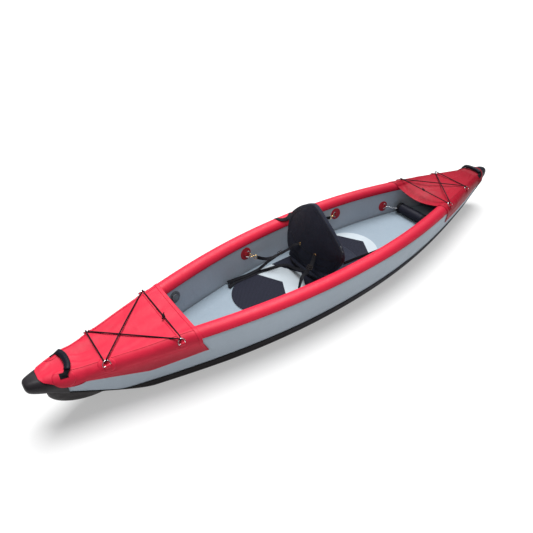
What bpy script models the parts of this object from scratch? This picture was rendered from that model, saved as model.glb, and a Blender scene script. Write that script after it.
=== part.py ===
# Inflatable drop-stitch kayak for one person, built piece by piece.
# Frame: metres, +X to the bow, +Y to port, +Z up. The origin is on the ground below the middle
# of the overall length. The flat of the bottom skin lies on Z = 0.
import bpy
import bmesh
from math import sin, cos, tan, radians, pi, sqrt, atan2, acos, asin
from mathutils import Vector, Matrix

# ---------------------------------------------------------------- driving dimensions (metres)
STERN_TIP = -1.8802          # end of the stern cap
BOW_TIP = 1.8802             # end of the bow cap
X_MID = -0.0105              # widest section
HALF_RUN = 1.871             # from the widest section to where the side chambers would meet
BEAM_C = 0.3368              # half breadth of the gunwale round's centre at the widest section
END_C = 0.0190               # the same at the stern end
R = 0.0498                   # half thickness of a side chamber, and radius of its gunwale round
SHEER = 0.3010               # height of the gunwale round's centre amidships
STERN_DROP, BOW_DROP = 0.0435, 0.0370     # how much lower it is SHEER_RUN away from amidships
SHEER_RUN = 1.692
TRIM = 0.0044                # the gunwale falls this much per metre towards the bow
LEAN = radians(9.0)          # the side walls lean outwards, from the floor up

FLOOR_TOP = 0.1278
FLOOR_BOTTOM = 0.0028
SKIN = 0.0017                # bottom skin
GAP = 0.0015                 # glue line under the skin
STRIP_IN, STRIP_OUT = 0.0005, 0.0014      # rub strip over the gunwale round
DECK_IN, DECK_OUT = 0.0026, 0.0040        # deck fabric over the strip
CAP_IN, CAP_OUT = 0.0044, 0.0072          # nose cone over the chamber ends
STERN_CAP_RIM, BOW_CAP_RIM = -1.7119, 1.7300
STERN_CHAMBER_END, BOW_CHAMBER_END = -1.7940, 1.7990

STERN_DECK_EDGE, BOW_DECK_EDGE = -1.0652, 0.9859
STERN_KEEL_END, BOW_KEEL_END = -1.8029, 1.8082   # stem ends of the bottom skin
KEEL_RISE = 0.171                                # height of the stem curve
STERN_KEEL_FLAT, BOW_KEEL_FLAT = -1.5615, 1.5660 # the keel line leaves the ground here

RING_HALF_W, RING_DEPTH, RING_WIRE = 0.0195, 0.0260, 0.0022      # D-rings for 38 mm webbing
CORD_R = 0.0029
BASE_TOP = 0.1316                                # white foam base
PAD_TOP = 0.1352                                 # black foam pads on it
WEB_T = 0.0016                                   # webbing thickness

ARC = [radians(20.0 * k) for k in range(10)]     # 0 = outboard, 90 = top, 180 = inboard


# ---------------------------------------------------------------- scene and helpers
def clear_scene():
    for ob in list(bpy.data.objects):
        bpy.data.objects.remove(ob, do_unlink=True)


clear_scene()
PARTS = bpy.data.collections.new("inflatable_kayak")
CUTTERS = bpy.data.collections.new("cutters")
bpy.context.scene.collection.children.link(PARTS)
bpy.context.scene.collection.children.link(CUTTERS)

COLOURS = {
    "red_fabric": ((0.80, 0.045, 0.075), 0.42, 0.0),
    "grey_fabric": ((0.27, 0.32, 0.36), 0.5, 0.0),
    "floor_fabric": ((0.38, 0.47, 0.54), 0.5, 0.0),
    "black_skin": ((0.02, 0.02, 0.028), 0.5, 0.0),
    "black_moulding": ((0.03, 0.025, 0.03), 0.4, 0.0),
    "white_foam": ((0.66, 0.69, 0.72), 0.7, 0.0),
    "black_foam": ((0.035, 0.037, 0.045), 0.8, 0.0),
    "seat_fabric": ((0.02, 0.02, 0.024), 0.8, 0.0),
    "webbing": ((0.015, 0.015, 0.017), 0.7, 0.0),
    "cord": ((0.015, 0.015, 0.017), 0.6, 0.0),
    "brass": ((0.72, 0.52, 0.24), 0.3, 1.0),
    "steel": ((0.75, 0.76, 0.78), 0.22, 1.0),
    "valve_plastic": ((0.22, 0.26, 0.29), 0.45, 0.0),
    "black_plastic": ((0.02, 0.02, 0.02), 0.4, 0.0),
}


def new_material(name, kind):
    rgb, rough, metal = COLOURS[kind]
    mat = bpy.data.materials.new(name)
    mat.use_nodes = True
    bsdf = mat.node_tree.nodes["Principled BSDF"]
    bsdf.inputs["Base Color"].default_value = (*rgb, 1.0)
    bsdf.inputs["Roughness"].default_value = rough
    bsdf.inputs["Metallic"].default_value = metal
    mat.diffuse_color = (*rgb, 1.0)
    return mat


def finish_mesh(name, bm, kind, origin=None, smooth=True):
    """Makes the object from a bmesh in world coordinates. origin puts its own origin on a joint axis."""
    bmesh.ops.recalc_face_normals(bm, faces=bm.faces[:])
    me = bpy.data.meshes.new(name)
    bm.to_mesh(me)
    bm.free()
    ob = bpy.data.objects.new(name, me)
    PARTS.objects.link(ob)
    if origin is not None:
        me.transform(Matrix.Translation(-Vector(origin)))
        ob.location = origin
    if smooth:
        me.shade_smooth()
        me.set_sharp_from_angle(angle=radians(38))
    me.materials.append(new_material(name, kind))
    return ob


def loft(name, rings, kind, origin=None, fan=True):
    """A solid through closed rings of equal length, with a flat face at each end."""
    bm = bmesh.new()
    vs = [[bm.verts.new(p) for p in ring] for ring in rings]
    n = len(vs[0])
    for a, b in zip(vs, vs[1:]):
        for j in range(n):
            k = (j + 1) % n
            bm.faces.new((a[j], a[k], b[k]))
            bm.faces.new((a[j], b[k], b[j]))
    for ring, pts in ((vs[0], rings[0]), (vs[-1], rings[-1])):
        if fan:
            mid = bm.verts.new(sum((Vector(p) for p in pts), Vector()) / n)
            for j in range(n):
                bm.faces.new((ring[j], ring[(j + 1) % n], mid))
        else:
            bm.faces.new(ring)
    return finish_mesh(name, bm, kind, origin)


def shell(name, outer, inner, kind, origin=None, flip=None):
    """A skin between two open grids of points, closed along its four borders.
    flip turns the diagonals of the first or the second half of the columns, so both sides of the hull mirror."""
    bm = bmesh.new()
    vo = [[bm.verts.new(p) for p in row] for row in outer]
    vi = [[bm.verts.new(p) for p in row] for row in inner]
    rows, cols = len(vo), len(vo[0])
    for i in range(rows - 1):
        for j in range(cols - 1):
            turn = (flip == "first" and 2 * j + 1 < cols) or (flip == "second" and 2 * j + 1 >= cols)
            for g in (vo, vi):
                a, b, c, d = g[i][j], g[i][j + 1], g[i + 1][j + 1], g[i + 1][j]
                bm.faces.new((a, b, d) if turn else (a, b, c))
                bm.faces.new((b, c, d) if turn else (a, c, d))
    border = [(i, 0) for i in range(rows)] + [(rows - 1, j) for j in range(1, cols)]
    border += [(i, cols - 1) for i in range(rows - 2, -1, -1)] + [(0, j) for j in range(cols - 2, 0, -1)]
    for (i, j), (k, m) in zip(border, border[1:] + border[:1]):
        bm.faces.new((vo[i][j], vo[k][m], vi[k][m]))
        bm.faces.new((vo[i][j], vi[k][m], vi[i][j]))
    return finish_mesh(name, bm, kind, origin)


def tube(name, pts, radius, kind, cyclic=False, sides=2, origin=None):
    """A round rod along a polyline, made as a bevelled curve and turned into a mesh."""
    cu = bpy.data.curves.new(name + "_path", "CURVE")
    cu.dimensions = "3D"
    cu.bevel_depth = radius
    cu.bevel_resolution = sides
    cu.use_fill_caps = True
    cu.twist_mode = "MINIMUM"
    sp = cu.splines.new("POLY")
    sp.points.add(len(pts) - 1)
    for q, p in zip(sp.points, pts):
        q.co = (*p, 1.0)
    sp.use_cyclic_u = cyclic
    ob = bpy.data.objects.new(name + "_path", cu)
    PARTS.objects.link(ob)
    graph = bpy.context.evaluated_depsgraph_get()
    me = bpy.data.meshes.new_from_object(ob.evaluated_get(graph))
    bm = bmesh.new()
    bm.from_mesh(me)
    bmesh.ops.remove_doubles(bm, verts=bm.verts[:], dist=1e-6)
    bpy.data.objects.remove(ob, do_unlink=True)
    return finish_mesh(name, bm, kind, origin)


def solid_cylinder(bm, radius, z0, z1, matrix, segments=24, r_top=None):
    geo = bmesh.ops.create_cone(bm, cap_ends=True, cap_tris=False, segments=segments,
                                radius1=radius, radius2=radius if r_top is None else r_top, depth=z1 - z0)
    bmesh.ops.translate(bm, verts=geo["verts"], vec=(0, 0, (z0 + z1) / 2))
    bmesh.ops.transform(bm, matrix=matrix, verts=geo["verts"])


def turned(name, profile, matrix, kind, steps=20, origin=None):
    """A turned piece: the profile at +X runs down its outer side; a Screw modifier turns it about Z."""
    me = bpy.data.meshes.new(name)
    me.from_pydata([(x, 0.0, z) for x, z in profile[::-1]], [(i, i + 1) for i in range(len(profile) - 1)], [])
    ob = bpy.data.objects.new(name, me)
    PARTS.objects.link(ob)
    ob.matrix_world = matrix
    mod = ob.modifiers.new("turn", "SCREW")
    mod.steps = steps
    mod.render_steps = steps
    mod.use_merge_vertices = True
    mod.merge_threshold = 0.00005
    mod.use_smooth_shade = True
    me.materials.append(new_material(name, kind))
    return ob


def cut(ob, cutter):
    mod = ob.modifiers.new("pocket", "BOOLEAN")
    mod.operation = "DIFFERENCE"
    mod.solver = "EXACT"
    mod.object = cutter


def catmull(points, n):
    """n points evenly along a smooth curve through the given ones."""
    p = [Vector(q) for q in points]
    p = [2 * p[0] - p[1]] + p + [2 * p[-1] - p[-2]]
    fine = []
    for i in range(1, len(p) - 2):
        for k in range(16):
            t = k / 16
            a, b, c, d = p[i - 1], p[i], p[i + 1], p[i + 2]
            fine.append(0.5 * ((2 * b) + (c - a) * t + (2 * a - 5 * b + 4 * c - d) * t * t
                               + (3 * b - a - 3 * c + d) * t ** 3))
    fine.append(p[-2])
    run = [0.0]
    for a, b in zip(fine, fine[1:]):
        run.append(run[-1] + (b - a).length)
    out, k = [], 0
    for i in range(n):
        s = run[-1] * i / (n - 1)
        while k < len(run) - 2 and run[k + 1] < s:
            k += 1
        f = (s - run[k]) / (run[k + 1] - run[k])
        out.append(fine[k].lerp(fine[k + 1], min(max(f, 0.0), 1.0)))
    return out


def ribbon(name, points, n, width, thick, face_start, face_end, kind, origin=None):
    """Flat webbing along a smooth route. The face vectors are its normals at the two ends."""
    path = catmull(points, n)
    rings = []
    for i, p in enumerate(path):
        t = (path[min(i + 1, n - 1)] - path[max(i - 1, 0)]).normalized()
        f = Vector(face_start).lerp(Vector(face_end), i / (n - 1))
        f = (f - t * f.dot(t)).normalized()
        s = t.cross(f)
        w, h = width / 2, thick / 2
        rings.append([p + s * w + f * h, p - s * w + f * h, p - s * w - f * h, p + s * w - f * h])
    return loft(name, rings, kind, origin, fan=False)


# ---------------------------------------------------------------- hull lines
def station_list(step):
    """Stations of the whole hull, closer together towards its ends."""
    out = [STERN_CHAMBER_END]
    while out[-1] < BOW_CHAMBER_END:
        near = min(out[-1] - STERN_TIP, BOW_TIP - out[-1])
        out.append(out[-1] + step * min(1.0, 0.32 + 1.1 * max(near, 0.0)))
    scale = (BOW_CHAMBER_END - STERN_CHAMBER_END) / (out[-1] - out[0])
    return [STERN_CHAMBER_END + (x - out[0]) * scale for x in out]


STATIONS = station_list(0.185)


def ruled(curve):
    """A hull line that runs straight between stations, so that every layer of the hull lies on the same faces."""
    table = [curve(x) for x in STATIONS]

    def line(x):
        if x <= STATIONS[0]:
            return table[0]
        for k in range(1, len(STATIONS)):
            if x <= STATIONS[k]:
                f = (x - STATIONS[k - 1]) / (STATIONS[k] - STATIONS[k - 1])
                return table[k - 1] + (table[k] - table[k - 1]) * f
        return table[-1]
    return line


@ruled
def half_breadth(x):
    s = min(abs((x - X_MID) / HALF_RUN), 1.0)
    y = END_C + (BEAM_C - END_C) * (1 - s ** 2.11) ** 1.43
    taper = 0.0583 - 0.4615 * (x - 1.6782)       # the bow runs straight into its tip
    return max(min(y, taper), 0.0040)


@ruled
def sheer(x):
    u = x - X_MID
    kick = 0.016 * min(1.0, max(0.0, (-1.640 - x) / 0.150)) ** 1.5      # the stern cap points up a little
    kick += 0.012 * min(1.0, max(0.0, (x - 1.690) / 0.090)) ** 1.5
    return SHEER - (STERN_DROP if u < 0 else BOW_DROP) * (abs(u) / SHEER_RUN) ** 2.5 - TRIM * u + kick


@ruled
def chamber_r(x):
    end = STERN_CHAMBER_END if x < 0 else BOW_CHAMBER_END
    t = max(0.0, 1 - abs(end - x) / 0.120)
    return R * sqrt(1 - ((0.66 if x < 0 else 0.40) * t) ** 2)


@ruled
def low_centre(x):
    """Height of the centre of the round at a side chamber's lower edge."""
    u = x - X_MID
    z = 0.0799 + 0.032 * u
    d = abs(u) - (1.345 if u < 0 else 1.49)
    z += (0.555 if u < 0 else 0.53) * (sqrt(d * d + (0.0070 if u < 0 else 0.0088)) + d) / 2
    return min(max(z, R + SKIN + GAP + 0.0010), sheer(x) - 0.004)


def wall_frame(x):
    """Gunwale centre, lower centre, outward normal and downward direction of the port wall, in (y, z)."""
    g = Vector((half_breadth(x), sheer(x)))
    down = Vector((-sin(LEAN), -cos(LEAN)))
    out = Vector((cos(LEAN), -sin(LEAN)))
    b = g + down * ((g.y - low_centre(x)) / cos(LEAN))
    return g, b, out, down


def round_point(centre, radius, alpha, out, down):
    return centre + (out * cos(alpha) - down * sin(alpha)) * radius


def on_wall_height(x, z, off):
    """Point on the outer wall, off proud of it, at height z."""
    g, b, out, down = wall_frame(x)
    p = g + out * (chamber_r(x) + off)
    return p + down * ((p.y - z) / cos(LEAN))


def inner_wall_y(x, z):
    g, b, out, down = wall_frame(x)
    p = g - out * chamber_r(x)
    return p.x - (p.y - z) * tan(LEAN)


@ruled
def black_line(x):
    """Height of the bottom skin's upper edge on the outer wall."""
    u = x - X_MID
    z = 0.1145 + 0.016 * u
    if u < 0:
        d = -u - 1.500
        return z - 0.012 * min(1.0, -u / 1.2) + 0.53 * (sqrt(d * d + 0.002) + d) / 2
    d = u - 1.60
    return z + 0.42 * (sqrt(d * d + 0.004) + d) / 2


def keel(x):
    flat, end = (STERN_KEEL_FLAT, STERN_KEEL_END) if x < 0 else (BOW_KEEL_FLAT, BOW_KEEL_END)
    t = max((x - flat) / (end - flat), 0.0)
    if t > 0.999:
        return KEEL_RISE + 0.026
    return KEEL_RISE * (1 - (1 - t ** 1.75) ** (1 / 1.75))


@ruled
def keel_flat(x):
    """Half width of the flat of the bottom."""
    u = abs(x - X_MID) / 1.46
    return max(0.004, 0.225 * (1 - u * u))


def stations(a, b, more=()):
    """The hull's stations from a to b, with the ends and any more that are asked for."""
    xs = [a] + [x for x in STATIONS if a + 0.004 < x < b - 0.004] + [b]
    return sorted(xs + [x for x in more if min(abs(x - y) for y in xs) > 0.002])


def v3(x, p, side=1):
    return Vector((x, side * p.x, p.y))


# ---------------------------------------------------------------- side chambers and rub strips
def side_chamber(name, side):
    rings = []
    for x in STATIONS:
        g, b, out, down = wall_frame(x)
        r = chamber_r(x)
        pts = [round_point(g, r, a, out, down) for a in ARC]
        pts += [round_point(b, r, pi + a, out, down) for a in ARC]
        for p in pts:
            p.x = max(p.x, 0.0008)
        rings.append([v3(x, p, side) for p in pts])
    return loft(name, rings, "grey_fabric")


def rub_strip(name, side):
    outer, inner = [], []
    for x in STATIONS[3:-3]:
        g, b, out, down = wall_frame(x)
        r = chamber_r(x)
        arc = [ARC[1] + radians(10)] + ARC[2:]
        row = lambda off: [round_point(g, r + off, a, out, down) for a in arc]
        outer.append([v3(x, Vector((max(p.x, 0.0016), p.y)), side) for p in row(STRIP_OUT)])
        inner.append([v3(x, Vector((max(p.x, 0.0030), p.y)), side) for p in row(STRIP_IN)])
    return shell(name, outer, inner, "red_fabric")


port_chamber = side_chamber("side_chamber_port", 1)
starboard_chamber = side_chamber("side_chamber_starboard", -1)
rub_strip("gunwale_strip_port", 1)
rub_strip("gunwale_strip_starboard", -1)


# ---------------------------------------------------------------- bottom skin
STEM_STATIONS = [f + (e - f) * sin(radians(a)) for a in (18, 36, 55, 75)
                 for f, e in ((STERN_KEEL_FLAT, STERN_KEEL_END), (BOW_KEEL_FLAT, BOW_KEEL_END))]


def tangent_angle(x, off):
    """Where the skin leaves the lower round for the keel, as an angle below the outward normal."""
    g, b, out, down = wall_frame(x)
    r = chamber_r(x) + off
    k = keel_point(x, off)
    to_k = k - b
    if to_k.length <= r * 1.02:
        to_k = to_k.normalized() * r * 1.02
    a = atan2(to_k.y, to_k.x) + acos(r / to_k.length)
    start = atan2(out.y, out.x)
    while a > start:
        a -= 2 * pi
    return start - a


def keel_point(x, off):
    return Vector((keel_flat(x) + (off - SKIN - GAP) * 0.6, keel(x) + (SKIN + GAP - off)))


def skin_row(x, off):
    """Half section of the bottom skin, from its upper edge down round the chamber and in to the keel."""
    g, b, out, down = wall_frame(x)
    r = chamber_r(x) + off
    k = keel_point(x, off)
    leave = tangent_angle(x, off)
    z = black_line(x)
    under = asin(min(max((b.y - z) / r, 0.0), 0.95)) - LEAN
    first = 0.0
    if under < 0.0:
        top = on_wall_height(x, max(z, b.y - r * sin(LEAN) + 0.001), off)
    else:
        first = min(under, leave - radians(12.0))
        top = round_point(b, r, -first, out, down)
    arc = []
    for j in range(7):
        a = max(radians(20 * j), first + radians(0.6) * (j + 2))
        arc.append(round_point(b, r, -min(a, leave - radians(0.5) * (6 - j)), out, down))
    pts = [top] + arc
    pts += [k, Vector((0.0, k.y))]
    return pts


def bottom_skin():
    outer, inner = [], []
    halves = [(a + b) / 2 for a, b in zip(STATIONS, STATIONS[1:]) if 1.25 < abs(a + b) / 2 < 1.60]
    for x in stations(STERN_KEEL_END + 0.0001, BOW_KEEL_END - 0.0001, STEM_STATIONS + halves):
        for grid, off in ((outer, SKIN + GAP), (inner, GAP)):
            half = skin_row(x, off)
            grid.append([v3(x, p, 1) for p in half] + [v3(x, p, -1) for p in half[-2::-1]])
    return shell("bottom_skin", outer, inner, "black_skin", flip="first")


bottom_skin()


# ---------------------------------------------------------------- floor chamber
FLOOR_STERN, FLOOR_BOW = -1.337, 1.300


def floor_half(x, z=FLOOR_TOP):
    """Half width of the floor where it meets the side walls."""
    return inner_wall_y(x, z) - 0.0022


def floor_chamber():
    rings = []
    n = 26
    for i in range(n + 1):
        t = i / n
        x = FLOOR_STERN + (FLOOR_BOW - FLOOR_STERN) * (0.5 - 0.5 * cos(pi * t))
        end = min(1.0, sqrt(max(0.0, min(x - FLOOR_STERN, FLOOR_BOW - x)) / 0.10))
        k = 0.30 + 0.70 * end
        half = []
        for dy, z in ((-0.030, FLOOR_TOP), (-0.010, FLOOR_TOP - 0.0035), (-0.0015, FLOOR_TOP - 0.014),
                      (0.0, FLOOR_TOP - 0.032)):
            half.append((max((floor_half(x, z) + dy) * k, 0.006), z))
        low = max(keel_flat(x) - 0.010, 0.004)
        side = floor_half(x, 0.060)
        lift = 0.0 if low > 0.02 else 0.004
        half.append((max((side - 0.006) * k, 0.005), 0.062))
        mid_y = 0.55 * side + 0.45 * low
        half.append((max(min(mid_y, side - 0.016) * k, 0.0045), 0.034))
        half.append((max(low * k, 0.004), FLOOR_BOTTOM + lift))
        ring = [(0.0, FLOOR_TOP)] + half + [(0.0, FLOOR_BOTTOM + lift)] + [(-y, z) for y, z in half[::-1]]
        rings.append([Vector((x, y, z)) for y, z in ring])
    return loft("floor_chamber", rings, "floor_fabric")


floor = floor_chamber()


# ---------------------------------------------------------------- decks
def apron_low(x):
    """Height of a deck apron's lower edge on the outer wall."""
    u = x - X_MID
    if u < 0:
        z = 0.1800 + 0.27 * max(0.0, -u - 1.33) + 0.09 * max(0.0, 1.30 + u)
    else:
        z = 0.2065 + 0.30 * max(0.0, u - 1.42) ** 1.1
    return min(z, sheer(x) - 0.005)


NOSE_STERN = ((0.0, 1.0), (0.16, 0.955), (0.42, 0.875), (0.68, 0.765), (0.86, 0.645), (0.95, 0.505), (1.0, 0.30))
NOSE_BOW = ((0.0, 1.0), (0.16, 0.94), (0.42, 0.83), (0.68, 0.67), (0.86, 0.52), (0.95, 0.39), (1.0, 0.20))


def nose(x, tip=None):
    """Scale and rise of the section beyond the chamber ends, where the caps run out to their tips."""
    start, tip = (STERN_KEEL_END, tip or STERN_TIP) if x < 0 else (BOW_KEEL_END, tip or BOW_TIP)
    f = min(max((x - start) / (tip - start), 0.0), 1.0)
    table = NOSE_STERN if x < 0 else NOSE_BOW
    for (fa, ka), (fb, kb) in zip(table, table[1:]):
        if f <= fb:
            return ka + (kb - ka) * (f - fa) / (fb - fa), (0.016 if x < 0 else 0.014) * f
    return table[-1][1], 0.0


def to_nose(x, p, tip=None):
    k, rise = nose(x, tip)
    end = STERN_CHAMBER_END if x < 0 else BOW_CHAMBER_END
    zc = (sheer(end) + low_centre(end)) / 2
    return Vector((p.x * k, zc + rise + (p.y - zc) * k))


def deck(name, edge_top, edge_corner, ends, cap_rim, leave_edge, sag_edge, sag_run, skew=0.0):
    """ends: where each column stops over the cap, from the apron's lower edge to the centre line."""
    outer, inner = [], []
    sign = 1 if edge_top > 0 else -1
    rows = 12
    for i in range(rows + 1):
        t = 0.35 * i / rows + 0.65 * (0.5 - 0.5 * cos(pi * i / rows))
        for grid, off in ((outer, DECK_OUT), (inner, DECK_IN)):
            row = []
            for side in (1, -1):
                half = []
                for j in range(15):
                    wall = j < 3
                    e0 = edge_top + (edge_corner - edge_top) * (max(0.0, (3 - j) / 3) if j < 3 else 0.0)
                    e0 -= skew * max(0, side) * min(1.0, (14 - j) / 11)
                    x = e0 + (ends[j] - e0) * t
                    lift = 0.0076 * min(1.0, max(0.0, (sign * (x - cap_rim) + 0.100) / 0.060))
                    o = off + lift
                    g, b, out, down = wall_frame(x)
                    r = chamber_r(x) + o
                    near_edge = max(0.0, 1 - abs(x - edge_top) / sag_run)
                    leave = radians(96) + (leave_edge - radians(96)) * near_edge
                    if wall:
                        top = g + out * r
                        low = on_wall_height(x, apron_low(x), o)
                        p = low.lerp(top, j / 3)
                    elif j <= 7:
                        p = round_point(g, r, radians(20.0 * (j - 3)), out, down)
                    else:
                        k = min(j - 7, 4)
                        p = round_point(g, r, radians(80) + (leave - radians(80)) * k / 4, out, down)
                        if j > 11:
                            f = (j - 11) / 3
                            drop = sag_edge * near_edge ** 1.6
                            mid = p.y - drop
                            p = Vector((p.x * (1 - f), mid + (p.y - mid) * (1 - f) ** 1.7))
                            p.x = p.x if j < 14 else 0.0
                    half.append(v3(x, to_nose(x, p), side))
                row += half if side == 1 else half[-2::-1]
            grid.append(row)
    return shell(name, outer, inner, "red_fabric", flip="second")


STERN_ENDS = (-1.668, -1.690, -1.706, -1.722, -1.740, -1.757, -1.790, -1.804, -1.808, -1.810, -1.811, -1.811, -1.811, -1.811, -1.811)
BOW_ENDS = (1.660, 1.660, 1.660, 1.668, 1.690, 1.726, 1.762, 1.790, 1.790, 1.790, 1.790, 1.790, 1.790, 1.790, 1.790)
deck("stern_deck", STERN_DECK_EDGE, -1.0313, STERN_ENDS, STERN_CAP_RIM, radians(118), 0.006, 0.30)
deck("bow_deck", BOW_DECK_EDGE, 1.0160, BOW_ENDS, BOW_CAP_RIM, radians(150), 0.040, 0.42, skew=0.030)


# ---------------------------------------------------------------- nose cones
def cap(name, rim, keel_end, tip):
    """A moulded cone over the ends of both side chambers, open below for the keel, closed under the nose."""
    sign = 1 if tip > 0 else -1
    lo, hi = min(rim, keel_end), max(rim, keel_end)
    spots = stations(lo, hi, [x for x in STEM_STATIONS if lo < x < hi])
    if sign < 0:
        spots.reverse()
    rows = [(x, x, 0.0) for x in spots]
    for f in (0.04, 0.16, 0.42, 0.68, 0.86, 0.96, 1.0):
        rows.append((keel_end + (tip - keel_end) * f, keel_end + sign * 0.003 + (tip - keel_end - sign * 0.009) * f, 1.0))
    outer, inner = [], []
    for x_out, x_in, shut in rows:
        for grid, off, x in ((outer, CAP_OUT, x_out), (inner, CAP_IN, x_in)):
            g, b, out, down = wall_frame(x)
            r = chamber_r(x) + off
            lip = min(radians(35), tangent_angle(x, SKIN + GAP) - radians(5))
            lip += (radians(81) - lip) * shut
            low = round_point(b, r, -lip, out, down)
            first = Vector((0.0006, low.y)) if shut else low + Vector((-0.0015, -0.0012))
            half = [first, first.lerp(low, 0.5), low]
            half += [round_point(b, r, -lip * k, out, down) for k in (0.66, 0.33)]
            half += [round_point(g, r, radians(a), out, down) for a in (0, 20, 40, 60, 80, 99)]
            half += [Vector((half[-1].x * 0.5, half[-1].y)), Vector((0.0, half[-1].y))]
            half = [to_nose(x, p, tip if grid is outer else tip - sign * 0.006) for p in half]
            grid.append([v3(x, p, 1) for p in half] + [v3(x, p, -1) for p in half[-2::-1]])
    return shell(name, outer, inner, "black_moulding", flip="second")


cap("stern_cap", STERN_CAP_RIM, STERN_KEEL_END, STERN_TIP)
cap("bow_cap", BOW_CAP_RIM, BOW_KEEL_END, BOW_TIP)


# ---------------------------------------------------------------- floor pads
def prism(name, outline, z0, z1, kind, bevel=0.0012):
    rings = []
    cx = sum(p[0] for p in outline) / len(outline)
    cy = sum(p[1] for p in outline) / len(outline)
    for z, inset in ((z0, 0.0), (z1 - bevel, 0.0), (z1, bevel)):
        ring = []
        for x, y in outline:
            d = Vector((x - cx, y - cy))
            d *= 1 - inset / d.length
            ring.append(Vector((cx + d.x, cy + d.y, z)))
        rings.append(ring)
    return loft(name, rings, kind, fan=False)


PAD_HALF = 0.186
BASE_HALF = 0.1945
REAR_OVAL, FRONT_OVAL = -0.4805, 0.2997


def rear_end(half, reach):
    return [(REAR_OVAL - reach * sin(radians(a)), half * cos(radians(a))) for a in range(0, 181, 20)]


def front_end(half, reach):
    return [(FRONT_OVAL + reach * sin(radians(a)), -half * cos(radians(a))) for a in range(0, 181, 20)]


prism("floor_pad_base", rear_end(BASE_HALF, 0.2068) + front_end(BASE_HALF, 0.1936), FLOOR_TOP + 0.0004, BASE_TOP, "white_foam")
prism("floor_pad_rear", rear_end(PAD_HALF, 0.1992) + [(-0.3179 - 0.55 * PAD_HALF, -PAD_HALF), (-0.3179, 0.0),
                                                     (-0.3179 - 0.55 * PAD_HALF, PAD_HALF)],
      BASE_TOP + 0.0004, PAD_TOP, "black_foam")
prism("floor_pad_front", [(-0.1581 - 0.55 * PAD_HALF, PAD_HALF), (-0.1581, 0.0), (-0.1581 - 0.55 * PAD_HALF, -PAD_HALF),
                          (0.4332 - 0.60 * PAD_HALF, -PAD_HALF), (0.4332, 0.0), (0.4332 - 0.60 * PAD_HALF, PAD_HALF)],
      BASE_TOP + 0.0004, PAD_TOP, "black_foam")


# ---------------------------------------------------------------- seat
SEAT_X0, SEAT_X1, SEAT_HALF, SEAT_TOP = -0.1510, 0.2450, 0.1880, 0.1720
HINGE_X, HINGE_Z = -0.1120, 0.1790          # the backrest folds about its sewn lower edge


def seat_cushion():
    rings = []
    cx, a = (SEAT_X0 + SEAT_X1) / 2, (SEAT_X1 - SEAT_X0) / 2
    n = 32
    for z, inset in ((PAD_TOP + 0.0005, 0.010), (PAD_TOP + 0.008, 0.0), (SEAT_TOP - 0.014, 0.0), (SEAT_TOP - 0.004, 0.008),
                     (SEAT_TOP, 0.024)):
        ring = []
        for k in range(n):
            t = 2 * pi * k / n
            c, q = cos(t), sin(t)
            sx = abs(c) ** (2 / 4.5) * (1 if c > 0 else -1)
            sy = abs(q) ** (2 / 3.4) * (1 if q > 0 else -1)
            ring.append(Vector((cx + (a - inset) * sx, (SEAT_HALF - inset) * sy, z)))
        rings.append(ring)
    return loft("seat_cushion", rings, "seat_fabric")


seat_cushion()

# half width of the backrest at heights above the ground
BACK_OUTLINE = [(0.080, 0.1860), (0.140, 0.1885), (0.177, 0.199), (0.198, 0.215), (0.216, 0.240), (0.234, 0.270),
                (0.252, 0.305), (0.2690, 0.350), (0.2725, 0.392), (0.2590, 0.428), (0.2340, 0.461), (0.2000, 0.496),
                (0.1600, 0.534), (0.1110, 0.571), (0.0560, 0.608), (0.0, 0.630)]
BACK_C = (0.0, 0.395)


def twist(y, z):
    """The straps hold the top of the backrest a little skew."""
    return y * (-0.060 + 0.145 * min(1.0, max(0.0, (z - 0.24) / 0.16)))


def back_rear(y, z):
    """X of the backrest's rear face: a shell that wraps forward round the sitter."""
    return -0.1294 + 0.09 * (z - 0.2585) + 0.920 * y * y * (1 - 0.25 * min(1.0, abs(y) / 0.27)) + twist(y, z)


def backrest():
    half = BACK_OUTLINE
    outline = half + [(-y, z) for y, z in half[-2::-1]]
    rings = []
    plan = [(0.30, 0.002), (0.66, 0.001), (0.94, 0.0), (1.0, 0.007), (1.0, 0.026), (0.94, 0.034), (0.66, 0.042), (0.30, 0.044)]
    for scale, depth in plan:
        ring = []
        for y, z in outline:
            yy = BACK_C[0] + (y - BACK_C[0]) * scale
            zz = BACK_C[1] + (z - BACK_C[1]) * scale
            ring.append(Vector((back_rear(yy, zz) + depth, yy, zz)))
        rings.append(ring)
    return loft("backrest", rings, "seat_fabric", origin=(HINGE_X, 0.0, HINGE_Z))


backrest()


# ---------------------------------------------------------------- fittings
def d_ring(name, bar, pull, lay):
    """bar: middle of the straight side. pull: unit vector towards the round side. lay: normal of the ring's plane."""
    side = pull.cross(lay).normalized()
    pts = [bar + side * RING_HALF_W * 0.80, bar + side * RING_HALF_W + pull * 0.0035]
    for k in range(1, 8):
        a = pi * k / 8
        pts.append(bar + side * RING_HALF_W * cos(a) + pull * (0.0060 + (RING_DEPTH - 0.0060) * sin(a) ** 0.9))
    pts += [bar - side * RING_HALF_W + pull * 0.0035, bar - side * RING_HALF_W * 0.80]
    tube(name, pts, RING_WIRE, "steel", cyclic=True, sides=1)
    return side


def inner_wall(x, z, side, off=0.0):
    """A point on the inner face of a side wall and the wall's inward normal there."""
    def at(xx, zz):
        return Vector((xx, side * inner_wall_y(xx, zz), zz))
    n = (at(x + 0.02, z) - at(x - 0.02, z)).cross(at(x, z + 0.02) - at(x, z - 0.02)).normalized()
    if n.y * side > 0:
        n = -n
    return at(x, z) + n * off, n


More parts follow.
